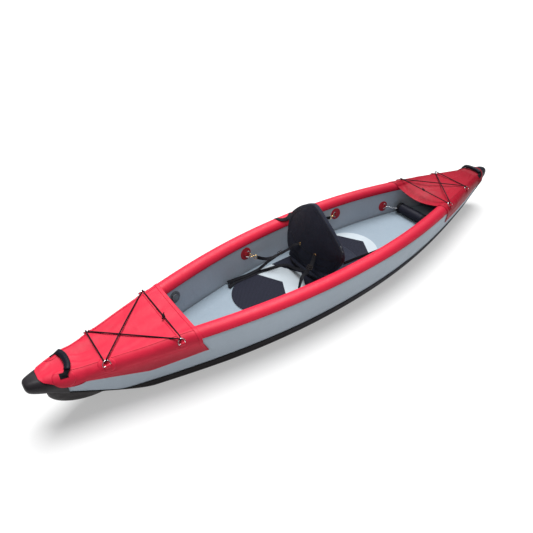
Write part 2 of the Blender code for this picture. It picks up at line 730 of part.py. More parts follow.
def snap_hook(name, apex, pull, lay, length=0.052):
    """A closed brass hook through a ring, drawn as one bent rod with a waist. It starts beyond the ring's apex."""
    pts = []
    a0 = apex - pull * 0.0070
    for s, w in ((0.0, 0.0035), (0.0015, 0.0062), (0.0060, 0.0078), (0.016, 0.0072), (0.027, 0.0040), (0.033, 0.0037),
                 (0.038, 0.0080), (0.0465, 0.0110), (length - 0.0015, 0.0100), (length, 0.0060)):
        pts.append(a0 + pull * s + lay * w)
    pts += [a0 + pull * (pull.dot(p - a0)) * 1.0 - lay * lay.dot(p - a0) for p in pts[::-1]]
    tube(name, pts, 0.0019, "brass", cyclic=True, sides=1)
    return a0 + pull * length


def buckle(name, centre, run, face):
    """Ladder-lock frame on the strap: two slots across it."""
    side = run.cross(face).normalized()
    face = side.cross(run).normalized()
    m = Matrix((run, side, face)).transposed().to_4x4()
    m.translation = centre
    bm = bmesh.new()
    # a plate with two slots, from a grid of cells
    xs = (-0.0140, -0.0100, -0.0025, 0.0025, 0.0100, 0.0140)
    ys = (-0.0175, -0.0133, 0.0133, 0.0175)
    grid = {}
    for i, x in enumerate(xs):
        for j, y in enumerate(ys):
            for k, z in enumerate((-0.0018, 0.0018)):
                grid[i, j, k] = bm.verts.new(m @ Vector((x, y, z)))
    solid = {(i, j): not (j == 1 and i in (1, 3)) for i in range(5) for j in range(3)}
    for (i, j), full in solid.items():
        if not full:
            continue
        for k in (0, 1):
            bm.faces.new((grid[i, j, k], grid[i + 1, j, k], grid[i + 1, j + 1, k], grid[i, j + 1, k]))
        for (di, dj), e in (((-1, 0), ((i, j), (i, j + 1))), ((1, 0), ((i + 1, j), (i + 1, j + 1))),
                            ((0, -1), ((i, j), (i + 1, j))), ((0, 1), ((i, j + 1), (i + 1, j + 1)))):
            if not solid.get((i + di, j + dj), False):
                (a, b), (c, d) = e
                bm.faces.new((grid[a, b, 0], grid[c, d, 0], grid[c, d, 1], grid[a, b, 1]))
    return finish_mesh(name, bm, "brass", smooth=False)


# ---------------------------------------------------------------- seat straps
WALL_RINGS = {"rear": (-0.4203, 0.2500, Vector((0.060, -0.055, -0.028))),
              "front": (0.3871, 0.2529, Vector((-0.075, -0.018, 0.004))),
              "foot": (0.8449, 0.1900, Vector((0.060, -0.022, -0.008)))}
RING_END = {}
for word, (x, z, pull) in WALL_RINGS.items():
    for side, tag in ((1, "port"), (-1, "starboard")):
        wall, n = inner_wall(x, z, side, 0.0045)
        d = Vector((pull.x, pull.y * side, pull.z)).normalized()
        lay = d.cross(n.cross(d)).normalized()
        # ring plane: holds the pull and the direction across it along the wall
        across = n.cross(d).normalized()
        lay = across.cross(d).normalized()
        d_ring("wall_ring_" + word + "_" + tag, wall, d, lay)
        RING_END[word, side] = (wall + d * RING_DEPTH, d, lay)

UP = Vector((0.0, 0.0, 1.0))
REAR_STRAPS = {
    1: dict(start=(-0.1232, 0.0752, 0.3093), over=[(-0.1553, 0.094, 0.3027), (-0.1853, 0.1128, 0.2698)],
            lock=(-0.2323, 0.141, 0.2359),
            tail=[(-0.265, 0.157, 0.2130), (-0.316, 0.1739, 0.1800), (-0.362, 0.180, 0.1530), (-0.4015, 0.1833, 0.1436),
                  (-0.4767, 0.1852, 0.1425), (-0.5444, 0.1936, 0.1425), (-0.613, 0.1993, 0.1425)],
            hook=[(-0.2831, 0.1530, 0.2230), (-0.3250, 0.1720, 0.2180)]),
    -1: dict(start=(-0.1238, -0.0752, 0.3093), over=[(-0.1506, -0.094, 0.2942)],
             lock=(-0.2041, -0.1222, 0.2707),
             tail=[(-0.2090, -0.0900, 0.2330), (-0.1960, -0.047, 0.2021), (-0.1919, 0.0, 0.1800), (-0.1891, 0.0564, 0.1551),
                   (-0.1919, 0.110, 0.1410), (-0.2286, 0.141, 0.1382), (-0.2634, 0.1476, 0.1382), (-0.3141, 0.1551, 0.1382),
                   (-0.3611, 0.1654, 0.1382), (-0.4025, 0.1700, 0.1382), (-0.4692, 0.1700, 0.1382), (-0.5369, 0.1740, 0.1382),
                   (-0.5848, 0.1720, 0.1382), (-0.6281, 0.1598, 0.1382)],
             hook=[(-0.2427, -0.1370, 0.2640), (-0.2991, -0.1598, 0.2700)]),
}


def rear_strap(side, tag):
    spec = REAR_STRAPS[side]
    lock = Vector(spec["lock"])
    ahead = Vector(spec["over"][-1])
    run = (lock - ahead).normalized()
    # backrest to buckle, through it and down to the floor
    pts = [spec["start"]] + spec["over"] + [lock] + spec["tail"]
    ribbon("seat_strap_rear_" + tag, pts, 40 if side < 0 else 28, 0.025, WEB_T, (-0.2, 0, 1), (0, 0, 1), "webbing")
    face = (UP - run * UP.dot(run)).normalized()
    buckle("strap_buckle_" + tag, lock + face * 0.0072 - run * 0.003, run, UP)
    apex, d, lay = RING_END["rear", side]
    cross = d.cross(lay).normalized()
    eye = snap_hook("snap_hook_rear_" + tag, apex, d, lay)
    first = lock + run * 0.0180 + face * 0.0036
    ribbon("hook_webbing_rear_" + tag, [first] + spec["hook"] + [eye + d * 0.0035], 20, 0.022, WEB_T, (0, 0, 1), -lay, "webbing")


rear_strap(1, "port")
rear_strap(-1, "starboard")

for side, tag in ((1, "port"), (-1, "starboard")):
    apex, d, lay = RING_END["front", side]
    eye = snap_hook("snap_hook_front_" + tag, apex, d, lay)
    ribbon("seat_strap_front_" + tag, [(-0.0425 + side * 0.0032, side * 0.2555, 0.3200), (0.060, side * 0.2555, 0.3080),
                                       (0.180, side * 0.2520, 0.2860), eye + d * 0.0035], 14, 0.025, WEB_T,
           (0, 1, 0), (0, 1, 0), "webbing")

# ---------------------------------------------------------------- foot rest
FOOT_X, FOOT_R, FOOT_HALF = 0.9700, 0.0390, 0.139
rows = []
for k in range(11):
    t = -1 + 2 * k / 10
    y = FOOT_HALF * t
    r = FOOT_R * (1 - 0.55 * max(0.0, abs(t) - 0.72) / 0.28 * max(0.0, abs(t) - 0.72) / 0.28)
    rows.append([Vector((FOOT_X + r * cos(2 * pi * j / 24), y, FLOOR_TOP + 0.0005 + FOOT_R + r * sin(2 * pi * j / 24))) for j in range(24)])
loft("footrest_tube", rows, "seat_fabric")
for side, tag in ((1, "port"), (-1, "starboard")):
    apex, d, lay = RING_END["foot", side]
    end = Vector((FOOT_X - FOOT_R - 0.0045, side * 0.112, 0.176))
    a0 = apex - d * 0.0070
    run = (end - a0).normalized()
    length = (end - a0).length
    flat = run.cross(run.cross(lay)).normalized() * -1
    pts = []
    for s, w in ((0.0, 0.0040), (0.004, 0.0072), (0.012, 0.0080), (length - 0.012, 0.0080), (length - 0.004, 0.0072), (length, 0.0040)):
        pts.append(a0 + run * s + flat * w)
    pts += [a0 + run * run.dot(p - a0) - flat * flat.dot(p - a0) for p in pts[::-1]]
    tube("footrest_clip_" + tag, pts, 0.0019, "steel", cyclic=True, sides=1)


# ---------------------------------------------------------------- deck rings and bungees
def deck_shape(x):
    """Gunwale centre, radius, leave angle, sag of the deck's outer face at x."""
    if x < 0:
        edge, rim, le, sag, run = STERN_DECK_EDGE, STERN_CAP_RIM, radians(118), 0.006, 0.30
    else:
        edge, rim, le, sag, run = BOW_DECK_EDGE, BOW_CAP_RIM, radians(150), 0.040, 0.42
    sign = 1 if x > 0 else -1
    lift = 0.0076 * min(1.0, max(0.0, (sign * (x - rim) + 0.100) / 0.060))
    g, b, out, down = wall_frame(x)
    near = max(0.0, 1 - abs(x - edge) / run)
    leave = radians(96) + (le - radians(96)) * near
    return g, chamber_r(x) + DECK_OUT + lift, leave, sag * near ** 1.6


def deck_height(x, y):
    g, r, leave, drop = deck_shape(x)
    g2, b, out, down = wall_frame(x)
    p = round_point(g, r, leave, out, down)
    y = abs(y)
    if y >= p.x:
        return g.y + sqrt(max(0.0, r * r - (y - g.x) ** 2))
    mid = p.y - drop
    return mid + (p.y - mid) * (y / p.x) ** 1.7


DECK_RINGS = {"stern": ((-1.5201, 0.1250), (-1.1648, 0.2237)), "bow": ((1.0560, 0.2300), (1.3880, 0.1480))}


def deck_ring(name, x, y_abs, side):
    g, r, leave, drop = deck_shape(x)
    alpha = acos(min(1.0, (y_abs - g.x) / r))
    n = Vector((0.0, side * cos(alpha), sin(alpha)))
    t = Vector((0.0, -side * sin(alpha), cos(alpha)))
    slope = (deck_height(x + 0.03, 0.0 + y_abs) - deck_height(x - 0.03, y_abs)) / 0.06
    centre = Vector((x, side * (g.x + cos(alpha) * r), g.y + sin(alpha) * r))
    tilt = radians(10.0)
    pull = t * cos(tilt) + n * sin(tilt)
    lay = n * cos(tilt) - t * sin(tilt)
    bar = centre - t * 0.013 + n * 0.0050
    d_ring(name, bar, pull, lay)
    return bar + pull * RING_DEPTH, pull, lay, n


def bungee(name, corners):
    """A closed cord round four rings, pulled tight over the deck. corners: list of (apex, pull, lay, n) in order."""
    path = []
    count = len(corners)
    for i in range(count):
        apex, pull, lay, n = corners[i]
        nxt = corners[(i + 1) % count][0]
        prev = corners[i - 1][0]
        side = pull.cross(lay).normalized()
        come = side if (prev - apex).dot(side) > 0 else -side
        go = side if (nxt - apex).dot(side) > 0 else -side
        if (come - go).length < 0.1:
            # both runs leave to the same side: the steeper one keeps the outside
            a, b = (prev - apex).normalized(), (nxt - apex).normalized()
            come, go = (side, -side) if a.dot(side) > b.dot(side) else (-side, side)
        up = RING_WIRE + CORD_R + 0.0008
        # over the ring's round side, into the ring and out below it
        path.append(("pin", apex + come * 0.0055 + lay * up + pull * 0.0030))
        path.append(("pin", apex + come * 0.0040 + lay * (up * 0.75) - pull * 0.0040))
        path.append(("pin", apex - pull * (up + 0.0012)))
        path.append(("pin", apex + go * 0.0040 - lay * (up * 0.75) - pull * 0.0040))
        path.append(("pin", apex + go * 0.0055 - lay * up + pull * 0.0030))
        # the run to the next ring
        a = path[-1][1]
        b_apex, b_pull, b_lay, b_n = corners[(i + 1) % count]
        b_side = b_pull.cross(b_lay).normalized()
        b_come = b_side if (apex - b_apex).dot(b_side) > 0 else -b_side
        nn = corners[(i + 2) % count][0]
        if abs((apex - b_apex).normalized().dot(b_side) - (nn - b_apex).normalized().dot(b_side)) > 1e-9:
            b_come = b_side if (apex - b_apex).normalized().dot(b_side) > (nn - b_apex).normalized().dot(b_side) else -b_side
        b = b_apex + b_come * 0.0055 + b_lay * up + b_pull * 0.0030
        m = 40
        prof = []
        for k in range(m + 1):
            q = a.lerp(b, k / m)
            h = deck_height(q.x, q.y) + CORD_R + 0.0009
            if k in (0, m):
                h = q.z
            elif k < 3 or k > m - 3:
                h = max(q.z, h)
            prof.append((k / m, h + (0.0075 if i == 2 and 17 < k < 23 else 0.0)))
        hull = []
        for q in prof:
            while len(hull) > 1 and (hull[-1][0] - hull[-2][0]) * (q[1] - hull[-2][1]) - (hull[-1][1] - hull[-2][1]) * (q[0] - hull[-2][0]) >= 0:
                hull.pop()
            hull.append(q)
        for u, h in hull[1:-1]:
            q = a.lerp(b, u)
            path.append(("run", Vector((q.x, q.y, h))))
    pts = [q for _, q in path]
    clean = [pts[0]]
    for q in pts[1:]:
        if (q - clean[-1]).length > 0.0022:
            clean.append(q)
    tube(name, clean, CORD_R, "cord", cyclic=True, sides=1)


for end, (aft, fore) in DECK_RINGS.items():
    made = {}
    for place, (x, y) in (("rear", aft), ("front", fore)):
        for side, tag in ((1, "port"), (-1, "starboard")):
            made[place, side] = deck_ring(end + "_deck_ring_" + place + "_" + tag, x, y, side)
    bungee(end + "_bungee", [made["rear", 1], made["front", -1], made["front", 1], made["rear", -1]])


# ---------------------------------------------------------------- carry handles
def sleeve(name, frames, outer, inner, kind, origin=None):
    """A tube of any section swept along frames of (point, side, up)."""
    bm = bmesh.new()
    rows = []
    for p, s, u in frames:
        rows.append(([bm.verts.new(p + s * a + u * b) for a, b in outer], [bm.verts.new(p + s * a + u * b) for a, b in inner]))
    n, m = len(outer), len(inner)
    for (oa, ia), (ob, ib) in zip(rows, rows[1:]):
        for j in range(n):
            k = (j + 1) % n
            bm.faces.new((oa[j], oa[k], ob[k]))
            bm.faces.new((oa[j], ob[k], ob[j]))
            bm.faces.new((ia[j], ib[k], ia[k]))
            bm.faces.new((ia[j], ib[j], ib[k]))
    for o, i in (rows[0], rows[-1]):
        for j in range(n):
            k = (j + 1) % n
            bm.faces.new((o[j], o[k], i[k]))
            bm.faces.new((o[j], i[k], i[j]))
    return finish_mesh(name, bm, kind, origin)


GRIP_OUT = [(0.0165 * cos(pi * k / 6), 0.0100 * sin(pi * k / 6)) for k in range(12)]
GRIP_IN = [(max(-0.0134, min(0.0134, 0.0190 * cos(pi * k / 6))), max(-0.0022, min(0.0022, 0.0100 * sin(pi * k / 6))))
           for k in range(12)]


def handle(end, x_foot, y_foot, z_foot, rise, pitch, top):
    """Webbing loop between the two sides of the deck with a moulded grip in its middle."""
    d = Vector((cos(pitch), 0.0, sin(pitch)))
    foot = Vector((x_foot, 0.0, z_foot))
    pts = []
    for u, w in ((1.0, 0.0), (0.93, 0.28), (0.74, 0.66), (0.40, 0.93), (0.0, 1.0)):
        pts.append(foot + Vector((0, y_foot * u, 0)) + d * rise * w + UP * (top * min(1.0, w * 1.6)))
    pts += [Vector((q.x, -q.y, q.z)) for q in pts[-2::-1]]
    axis_n = d.cross(Vector((0, 1, 0))).normalized()
    if axis_n.z < 0:
        axis_n = -axis_n
    path = catmull(pts, 19)
    rings = []
    for i, q in enumerate(path):
        t = (path[min(i + 1, 18)] - path[max(i - 1, 0)]).normalized()
        # the ends lie along the slope of the deck
        slope = (deck_height(q.x, abs(q.y) + 0.006) - deck_height(q.x, abs(q.y) - 0.006)) / 0.012
        lying = Vector((0.0, -slope if q.y > 0 else slope, 1.0)).normalized()
        n = axis_n.lerp(lying, max(0.0, 1 - min(i, 18 - i) / 3)).normalized()
        s = n.cross(t).normalized()
        n = t.cross(s).normalized()
        w, h = 0.0125, 0.0008
        rings.append([q + s * w + n * h, q - s * w + n * h, q - s * w - n * h, q + s * w - n * h])
    loft(end + "_handle_webbing", rings, "webbing", origin=tuple(foot), fan=False)
    frames = []
    for i in range(3, 16):
        t = (path[i + 1] - path[i - 1]).normalized()
        frames.append((path[i], axis_n.cross(t).normalized(), axis_n))
    sleeve(end + "_handle_grip", frames, GRIP_OUT, GRIP_IN, "black_moulding", origin=tuple(foot))


handle("stern", -1.7087, 0.0850, 0.3201, 0.0389, radians(9.3), 0.0165)
handle("bow", 1.6788, 0.0894, 0.3062, 0.0300, radians(42.0), 0.0105)


# ---------------------------------------------------------------- paddle strap
def gunwale_at(x, y, off):
    g, b, out, down = wall_frame(x)
    r = R + STRIP_OUT + off
    return Vector((x, y, g.y + sqrt(max(0.0, r * r - (y - g.x) ** 2))))


ribbon("paddle_strap", [gunwale_at(-0.0975, 0.3620, 0.0022), gunwale_at(-0.0985, 0.3410, 0.0036), gunwale_at(-0.0890, 0.3200, 0.0065),
                        gunwale_at(-0.0700, 0.3095, 0.0085), gunwale_at(-0.0440, 0.3060, 0.0090), gunwale_at(-0.0150, 0.3150, 0.0078),
                        gunwale_at(0.0080, 0.3320, 0.0040), gunwale_at(0.0271, 0.3520, 0.0022)], 20, 0.020, WEB_T,
       (0, 0.35, 1), (0, 0.35, 1), "webbing")


# ---------------------------------------------------------------- air valves
def valve(tag, chamber, seat, axis):
    """Body sunk in the chamber, a sprung pin in its bore and a push-on cap. axis points out of the chamber."""
    m = axis.to_track_quat("Z", "Y").to_matrix().to_4x4()
    m.translation = seat
    me = bpy.data.meshes.new("pocket_" + tag)
    bm = bmesh.new()
    solid_cylinder(bm, 0.0182, -0.0300, 0.0200, Matrix.Identity(4), 24)
    bm.to_mesh(me)
    bm.free()
    cutter = bpy.data.objects.new("pocket_" + tag, me)
    cutter.matrix_world = m
    cutter.hide_render = True
    cutter.display_type = "WIRE"
    CUTTERS.objects.link(cutter)
    cut(chamber, cutter)
    turned("valve_body_" + tag, [(0.0, -0.0285), (0.0172, -0.0285), (0.0172, 0.0010), (0.0245, 0.0010), (0.0245, 0.0032),
                                 (0.0230, 0.0042), (0.0140, 0.0042), (0.0140, -0.0150), (0.0060, -0.0150), (0.0060, -0.0240),
                                 (0.0, -0.0240)], m, "valve_plastic")
    turned("valve_pin_" + tag, [(0.0, -0.0190), (0.0050, -0.0190), (0.0050, -0.0130), (0.0036, -0.0120), (0.0036, -0.0030), (0.0, -0.0020)],
           m, "valve_plastic", steps=16)
    turned("valve_cap_" + tag, [(0.0, 0.0014), (0.0128, 0.0014), (0.0128, 0.0048), (0.0210, 0.0048), (0.0210, 0.0080), (0.0190, 0.0098),
                                (0.0, 0.0098)], m, "valve_plastic")


VALVE_X, VALVE_Z = -0.9980, 0.2480
for side, tag, chamber in ((1, "port", port_chamber), (-1, "starboard", starboard_chamber)):
    seat, n = inner_wall(VALVE_X, VALVE_Z, side)
    valve(tag, chamber, seat, n)
valve("floor", floor, Vector((-1.1800, 0.0, FLOOR_TOP)), UP)
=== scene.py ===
# Looks of the inflatable kayak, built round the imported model.
# Metres, +X to the bow, +Y to port, +Z up. The ground is Z = 0.
from math import sin, cos, tan, radians, degrees, pi, sqrt, atan2, acos, asin, exp, log

import bmesh
import bpy
import numpy as np
from mathutils import Matrix, Vector


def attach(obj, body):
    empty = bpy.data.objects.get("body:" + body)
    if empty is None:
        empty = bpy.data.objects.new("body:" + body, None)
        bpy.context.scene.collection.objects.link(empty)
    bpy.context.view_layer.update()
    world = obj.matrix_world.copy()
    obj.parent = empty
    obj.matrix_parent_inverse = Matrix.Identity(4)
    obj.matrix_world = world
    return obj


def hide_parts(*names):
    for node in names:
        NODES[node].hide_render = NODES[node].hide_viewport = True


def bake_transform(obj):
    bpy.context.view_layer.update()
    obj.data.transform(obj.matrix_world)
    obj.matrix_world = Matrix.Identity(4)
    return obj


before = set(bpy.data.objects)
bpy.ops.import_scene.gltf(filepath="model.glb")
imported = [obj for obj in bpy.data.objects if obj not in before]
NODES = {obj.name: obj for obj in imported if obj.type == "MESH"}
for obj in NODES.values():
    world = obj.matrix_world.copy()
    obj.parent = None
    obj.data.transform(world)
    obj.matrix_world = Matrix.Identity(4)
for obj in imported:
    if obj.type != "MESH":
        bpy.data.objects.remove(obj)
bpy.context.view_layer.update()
UP = Vector((0.0, 0.0, 1.0))

# ================================================================ hull lines (the same as the model's, run smooth)
STERN_TIP, BOW_TIP = -1.8802, 1.8802
X_MID, HALF_RUN, BEAM_C, END_C = -0.0105, 1.871, 0.3368, 0.0190
R, SHEER, STERN_DROP, BOW_DROP, SHEER_RUN, TRIM = 0.0498, 0.3010, 0.0435, 0.0370, 1.692, 0.0044
LEAN = radians(9.0)
FLOOR_TOP, FLOOR_BOTTOM, SKIN, GAP = 0.1278, 0.0028, 0.0017, 0.0015
STERN_CAP_RIM, BOW_CAP_RIM = -1.7119, 1.7300
STERN_CHAMBER_END, BOW_CHAMBER_END = -1.7940, 1.7990
STERN_DECK_EDGE, BOW_DECK_EDGE = -1.0652, 0.9859
STERN_KEEL_END, BOW_KEEL_END = -1.8029, 1.8082
KEEL_RISE = 0.171
STERN_KEEL_FLAT, BOW_KEEL_FLAT = -1.5615, 1.5660
RING_HALF_W, RING_DEPTH, RING_WIRE, CORD_R = 0.0195, 0.0260, 0.0022, 0.0029
CORD_LOOK = 0.0034
BASE_TOP, PAD_TOP, WEB_T = 0.1316, 0.1352, 0.0016
OUT = Vector((cos(LEAN), -sin(LEAN)))
DOWN = Vector((-sin(LEAN), -cos(LEAN)))


def half_breadth(x):
    s = min(abs((x - X_MID) / HALF_RUN), 1.0)
    y = END_C + (BEAM_C - END_C) * (1 - s ** 2.11) ** 1.43
    taper = 0.0583 - 0.4615 * (x - 1.6782)
    k = 0.0025
    if taper - y < 0.05:
        y = -k * log(exp(-(y - taper) / k) + 1.0) + taper if y - taper < 0.03 else taper
    return max(y, 0.0040)


def sheer(x):
    u = x - X_MID
    kick = 0.016 * min(1.0, max(0.0, (-1.640 - x) / 0.150)) ** 1.5
    kick += 0.012 * min(1.0, max(0.0, (x - 1.690) / 0.090)) ** 1.5
    return SHEER - (STERN_DROP if u < 0 else BOW_DROP) * (abs(u) / SHEER_RUN) ** 2.5 - TRIM * u + kick


def chamber_r(x):
    end = STERN_CHAMBER_END if x < 0 else BOW_CHAMBER_END
    t = max(0.0, 1 - abs(end - x) / 0.120)
    if abs(x) > abs(end):
        t = 1.0
    return R * sqrt(1 - ((0.66 if x < 0 else 0.40) * t) ** 2)


def low_centre(x):
    u = x - X_MID
    z = 0.0799 + 0.032 * u
    d = abs(u) - (1.345 if u < 0 else 1.49)
    z += (0.555 if u < 0 else 0.53) * (sqrt(d * d + (0.0070 if u < 0 else 0.0088)) + d) / 2
    return min(max(z, R + SKIN + GAP + 0.0010), sheer(x) - 0.004)


def wall_frame(x):
    g = Vector((half_breadth(x), sheer(x)))
    b = g + DOWN * ((g.y - low_centre(x)) / cos(LEAN))
    return g, b, OUT, DOWN


def round_point(centre, radius, alpha):
    return centre + (OUT * cos(alpha) - DOWN * sin(alpha)) * radius


def on_wall_height(x, z, off):
    g, b, out, down = wall_frame(x)
    p = g + out * (chamber_r(x) + off)
    return p + down * ((p.y - z) / cos(LEAN))


def inner_wall_y(x, z):
    g, b, out, down = wall_frame(x)
    p = g - out * chamber_r(x)
    return p.x - (p.y - z) * tan(LEAN)


def black_line(x):
    u = x - X_MID
    z = 0.1145 + 0.016 * u
    if u < 0:
        d = -u - 1.500
        return z - 0.012 * min(1.0, -u / 1.2) + 0.53 * (sqrt(d * d + 0.002) + d) / 2
    d = u - 1.60
    return z + 0.42 * (sqrt(d * d + 0.004) + d) / 2


def keel(x):
    flat, end = (STERN_KEEL_FLAT, STERN_KEEL_END) if x < 0 else (BOW_KEEL_FLAT, BOW_KEEL_END)
    t = max((x - flat) / (end - flat), 0.0)
    if t > 0.999:
        return KEEL_RISE + 0.026
    return KEEL_RISE * (1 - (1 - t ** 1.75) ** (1 / 1.75))


def keel_flat(x):
    u = abs(x - X_MID) / 1.46
    return max(0.004, 0.225 * (1 - u * u))


def v3(x, p, side=1):
    return Vector((x, side * p.x, p.y))


def inner_wall(x, z, side, off=0.0):
    def at(xx, zz):
        return Vector((xx, side * inner_wall_y(xx, zz), zz))
    p = at(x, z)
    n = (at(x + 0.01, z) - at(x - 0.01, z)).cross(at(x, z + 0.01) - at(x, z - 0.01)).normalized()
    if n.y * side > 0:
        n = -n
    return p + n * off, n


# ================================================================ helpers
def lattice(seed, n=64):
    return np.random.RandomState(seed).uniform(-1, 1, (n, n))


def vnoise(x, y, seed=1):
    """Smooth value noise in the plane, -1 to 1, one cell a unit."""
    g = lattice(seed)
    x, y = np.asarray(x, float), np.asarray(y, float)
    xi, yi = np.floor(x).astype(int), np.floor(y).astype(int)
    fx, fy = x - xi, y - yi
    fx, fy = fx * fx * (3 - 2 * fx), fy * fy * (3 - 2 * fy)
    n = g.shape[0]
    a, b = g[xi % n, yi % n], g[(xi + 1) % n, yi % n]
    c, d = g[xi % n, (yi + 1) % n], g[(xi + 1) % n, (yi + 1) % n]
    return (a + (b - a) * fx) * (1 - fy) + (c + (d - c) * fx) * fy


def catmull(points, n):
    p = [Vector(q) for q in points]
    p = [2 * p[0] - p[1]] + p + [2 * p[-1] - p[-2]]
    fine = []
    for i in range(1, len(p) - 2):
        for k in range(16):
            t = k / 16
            a, b, c, d = p[i - 1], p[i], p[i + 1], p[i + 2]
            fine.append(0.5 * ((2 * b) + (c - a) * t + (2 * a - 5 * b + 4 * c - d) * t * t + (3 * b - a - 3 * c + d) * t ** 3))
    fine.append(p[-2])
    run = [0.0]
    for a, b in zip(fine, fine[1:]):
        run.append(run[-1] + (b - a).length)
    out, k = [], 0
    for i in range(n):
        s = run[-1] * i / (n - 1)
        while k < len(run) - 2 and run[k + 1] < s:
            k += 1
        f = (s - run[k]) / max(run[k + 1] - run[k], 1e-12)
        out.append(fine[k].lerp(fine[k + 1], min(max(f, 0.0), 1.0)))
    return out


def put(name, verts, faces, mat, uvs=None, smooth=True, weld=0.0, hint=None, sharp=None):
    """A mesh object. uvs holds one (u, v) a face corner, in metres."""
    me = bpy.data.meshes.new(name)
    me.from_pydata([tuple(v) for v in verts], [], faces)
    if uvs is not None:
        layer = me.uv_layers.new(name="UVMap")
        layer.data.foreach_set("uv", np.asarray(uvs, np.float32).ravel())
    bm = bmesh.new()
    bm.from_mesh(me)
    if weld:
        bmesh.ops.remove_doubles(bm, verts=bm.verts, dist=weld)
    if hint == "closed":
        bmesh.ops.recalc_face_normals(bm, faces=bm.faces)
    bm.to_mesh(me)
    bm.free()
    if smooth:
        me.shade_smooth()
        if sharp:
            me.set_sharp_from_angle(angle=radians(sharp))
    ob = bpy.data.objects.new(name, me)
    bpy.context.scene.collection.objects.link(ob)
    me.materials.append(mat)
    return ob


def grid(name, P, mat, close_u=False, close_v=False, cap=False, weld=0.0, flip=False, closed=False, sharp=None):
    """A surface through rows of points, with UVs in metres. cap closes both ends of a tube with a fan."""
    P = np.asarray([[tuple(q) for q in row] for row in P], float)
    n, m = P.shape[:2]
    Q = P
    if close_v:
        Q = np.concatenate([P, P[:, :1]], 1)
    if close_u:
        Q = np.concatenate([Q, Q[:1]], 0)
    dv = np.concatenate([np.zeros((Q.shape[0], 1)), np.cumsum(np.linalg.norm(np.diff(Q, axis=1), axis=2), axis=1)], 1)
    du = np.concatenate([np.zeros((1, Q.shape[1])), np.cumsum(np.linalg.norm(np.diff(Q, axis=0), axis=2), axis=0)], 0)
    du = np.repeat(du.mean(1, keepdims=True), Q.shape[1], 1)
    faces, uvs = [], []
    for i in range(Q.shape[0] - 1):
        i2 = (i + 1) % n
        for j in range(Q.shape[1] - 1):
            j2 = (j + 1) % m
            f = [(i * m + j, i, j), (i2 * m + j, i + 1, j), (i2 * m + j2, i + 1, j + 1), (i * m + j2, i, j + 1)]
            if flip:
                f.reverse()
            faces.append([a for a, _, _ in f])
            uvs += [(du[a, b], dv[a, b]) for _, a, b in f]
    verts = P.reshape(-1, 3)
    if cap:
        extra = []
        for i in (0, n - 1):
            c = verts[i * m:(i + 1) * m].mean(0)
            k = len(verts) + len(extra)
            extra.append(c)
            for j in range(m):
                a, b = i * m + j, i * m + (j + 1) % m
                f = [a, b, k] if (i == 0) != flip else [b, a, k]
                faces.append(f)
                uvs += [(verts[q] @ np.array([1, 0.3, 0]), verts[q] @ np.array([0, 0.7, 1])) if q < len(verts) else (c @ np.array([1, 0.3, 0]), c @ np.array([0, 0.7, 1])) for q in f]
        verts = np.concatenate([verts, np.array(extra)], 0)
    return put(name, verts, faces, mat, uvs, True, weld, "closed" if (closed or cap) else None, sharp)


def thicken(ob, thick, offset=-1.0, edge=0.0):
    s = ob.modifiers.new("thick", "SOLIDIFY")
    s.thickness, s.offset, s.use_even_offset = thick, offset, False
    if edge:
        b = ob.modifiers.new("edge", "BEVEL")
        b.width, b.segments, b.limit_method, b.angle_limit = edge, 2, "ANGLE", radians(50)
        b.use_clamp_overlap = True
    return ob


def applied(ob):
    """Bakes the modifiers into the mesh."""
    bpy.context.view_layer.update()
    dg = bpy.context.evaluated_depsgraph_get()
    me = bpy.data.meshes.new_from_object(ob.evaluated_get(dg))
    ob.modifiers.clear()
    old, ob.data = ob.data, me
    me.name = ob.name
    bpy.data.meshes.remove(old)
    return ob


def sweep(name, path, section, mat, normals, closed=False, cap=True, scale=None, sharp=None, round_ends=0):
    """A section of (side, up) points carried along a path. normals: up vectors along it."""
    n = len(path)
    rows = []
    for i, p in enumerate(path):
        a = path[(i - 1) % n] if closed else path[max(i - 1, 0)]
        b = path[(i + 1) % n] if closed else path[min(i + 1, n - 1)]
        t = (b - a).normalized()
        f = Vector(normals[i])
        f = (f - t * f.dot(t)).normalized()
        s = t.cross(f)
        k = scale[i] if scale is not None else 1.0
        ks, ku = k if isinstance(k, tuple) else (k, k)
        rows.append([p + s * (q[0] * ks) + f * (q[1] * ku) for q in section])
    return grid(name, rows, mat, close_u=closed, close_v=True, cap=cap and not closed, closed=True, sharp=sharp)


def circle(r, k):
    return [(r * cos(2 * pi * j / k), r * sin(2 * pi * j / k)) for j in range(k)]


def flat_section(w, h, r=None):
    """Webbing: a flat section with rounded edges."""
    r = h / 2 * 0.95
    pts = []
    for cx, cy, a0 in ((w / 2 - r, h / 2 - r, 0), (-w / 2 + r, h / 2 - r, 90), (-w / 2 + r, -h / 2 + r, 180), (w / 2 - r, -h / 2 + r, 270)):
        for a in (0, 45, 90):
            pts.append((cx + r * cos(radians(a0 + a)), cy + r * sin(radians(a0 + a))))
    # points across the two faces keep the shading even
    out = []
    for i, p in enumerate(pts):
        out.append(p)
        q = pts[(i + 1) % len(pts)]
        if abs(p[0] - q[0]) > w * 0.5:
            out += [(p[0] + (q[0] - p[0]) * f, p[1]) for f in (0.25, 0.5, 0.75)]
    return out


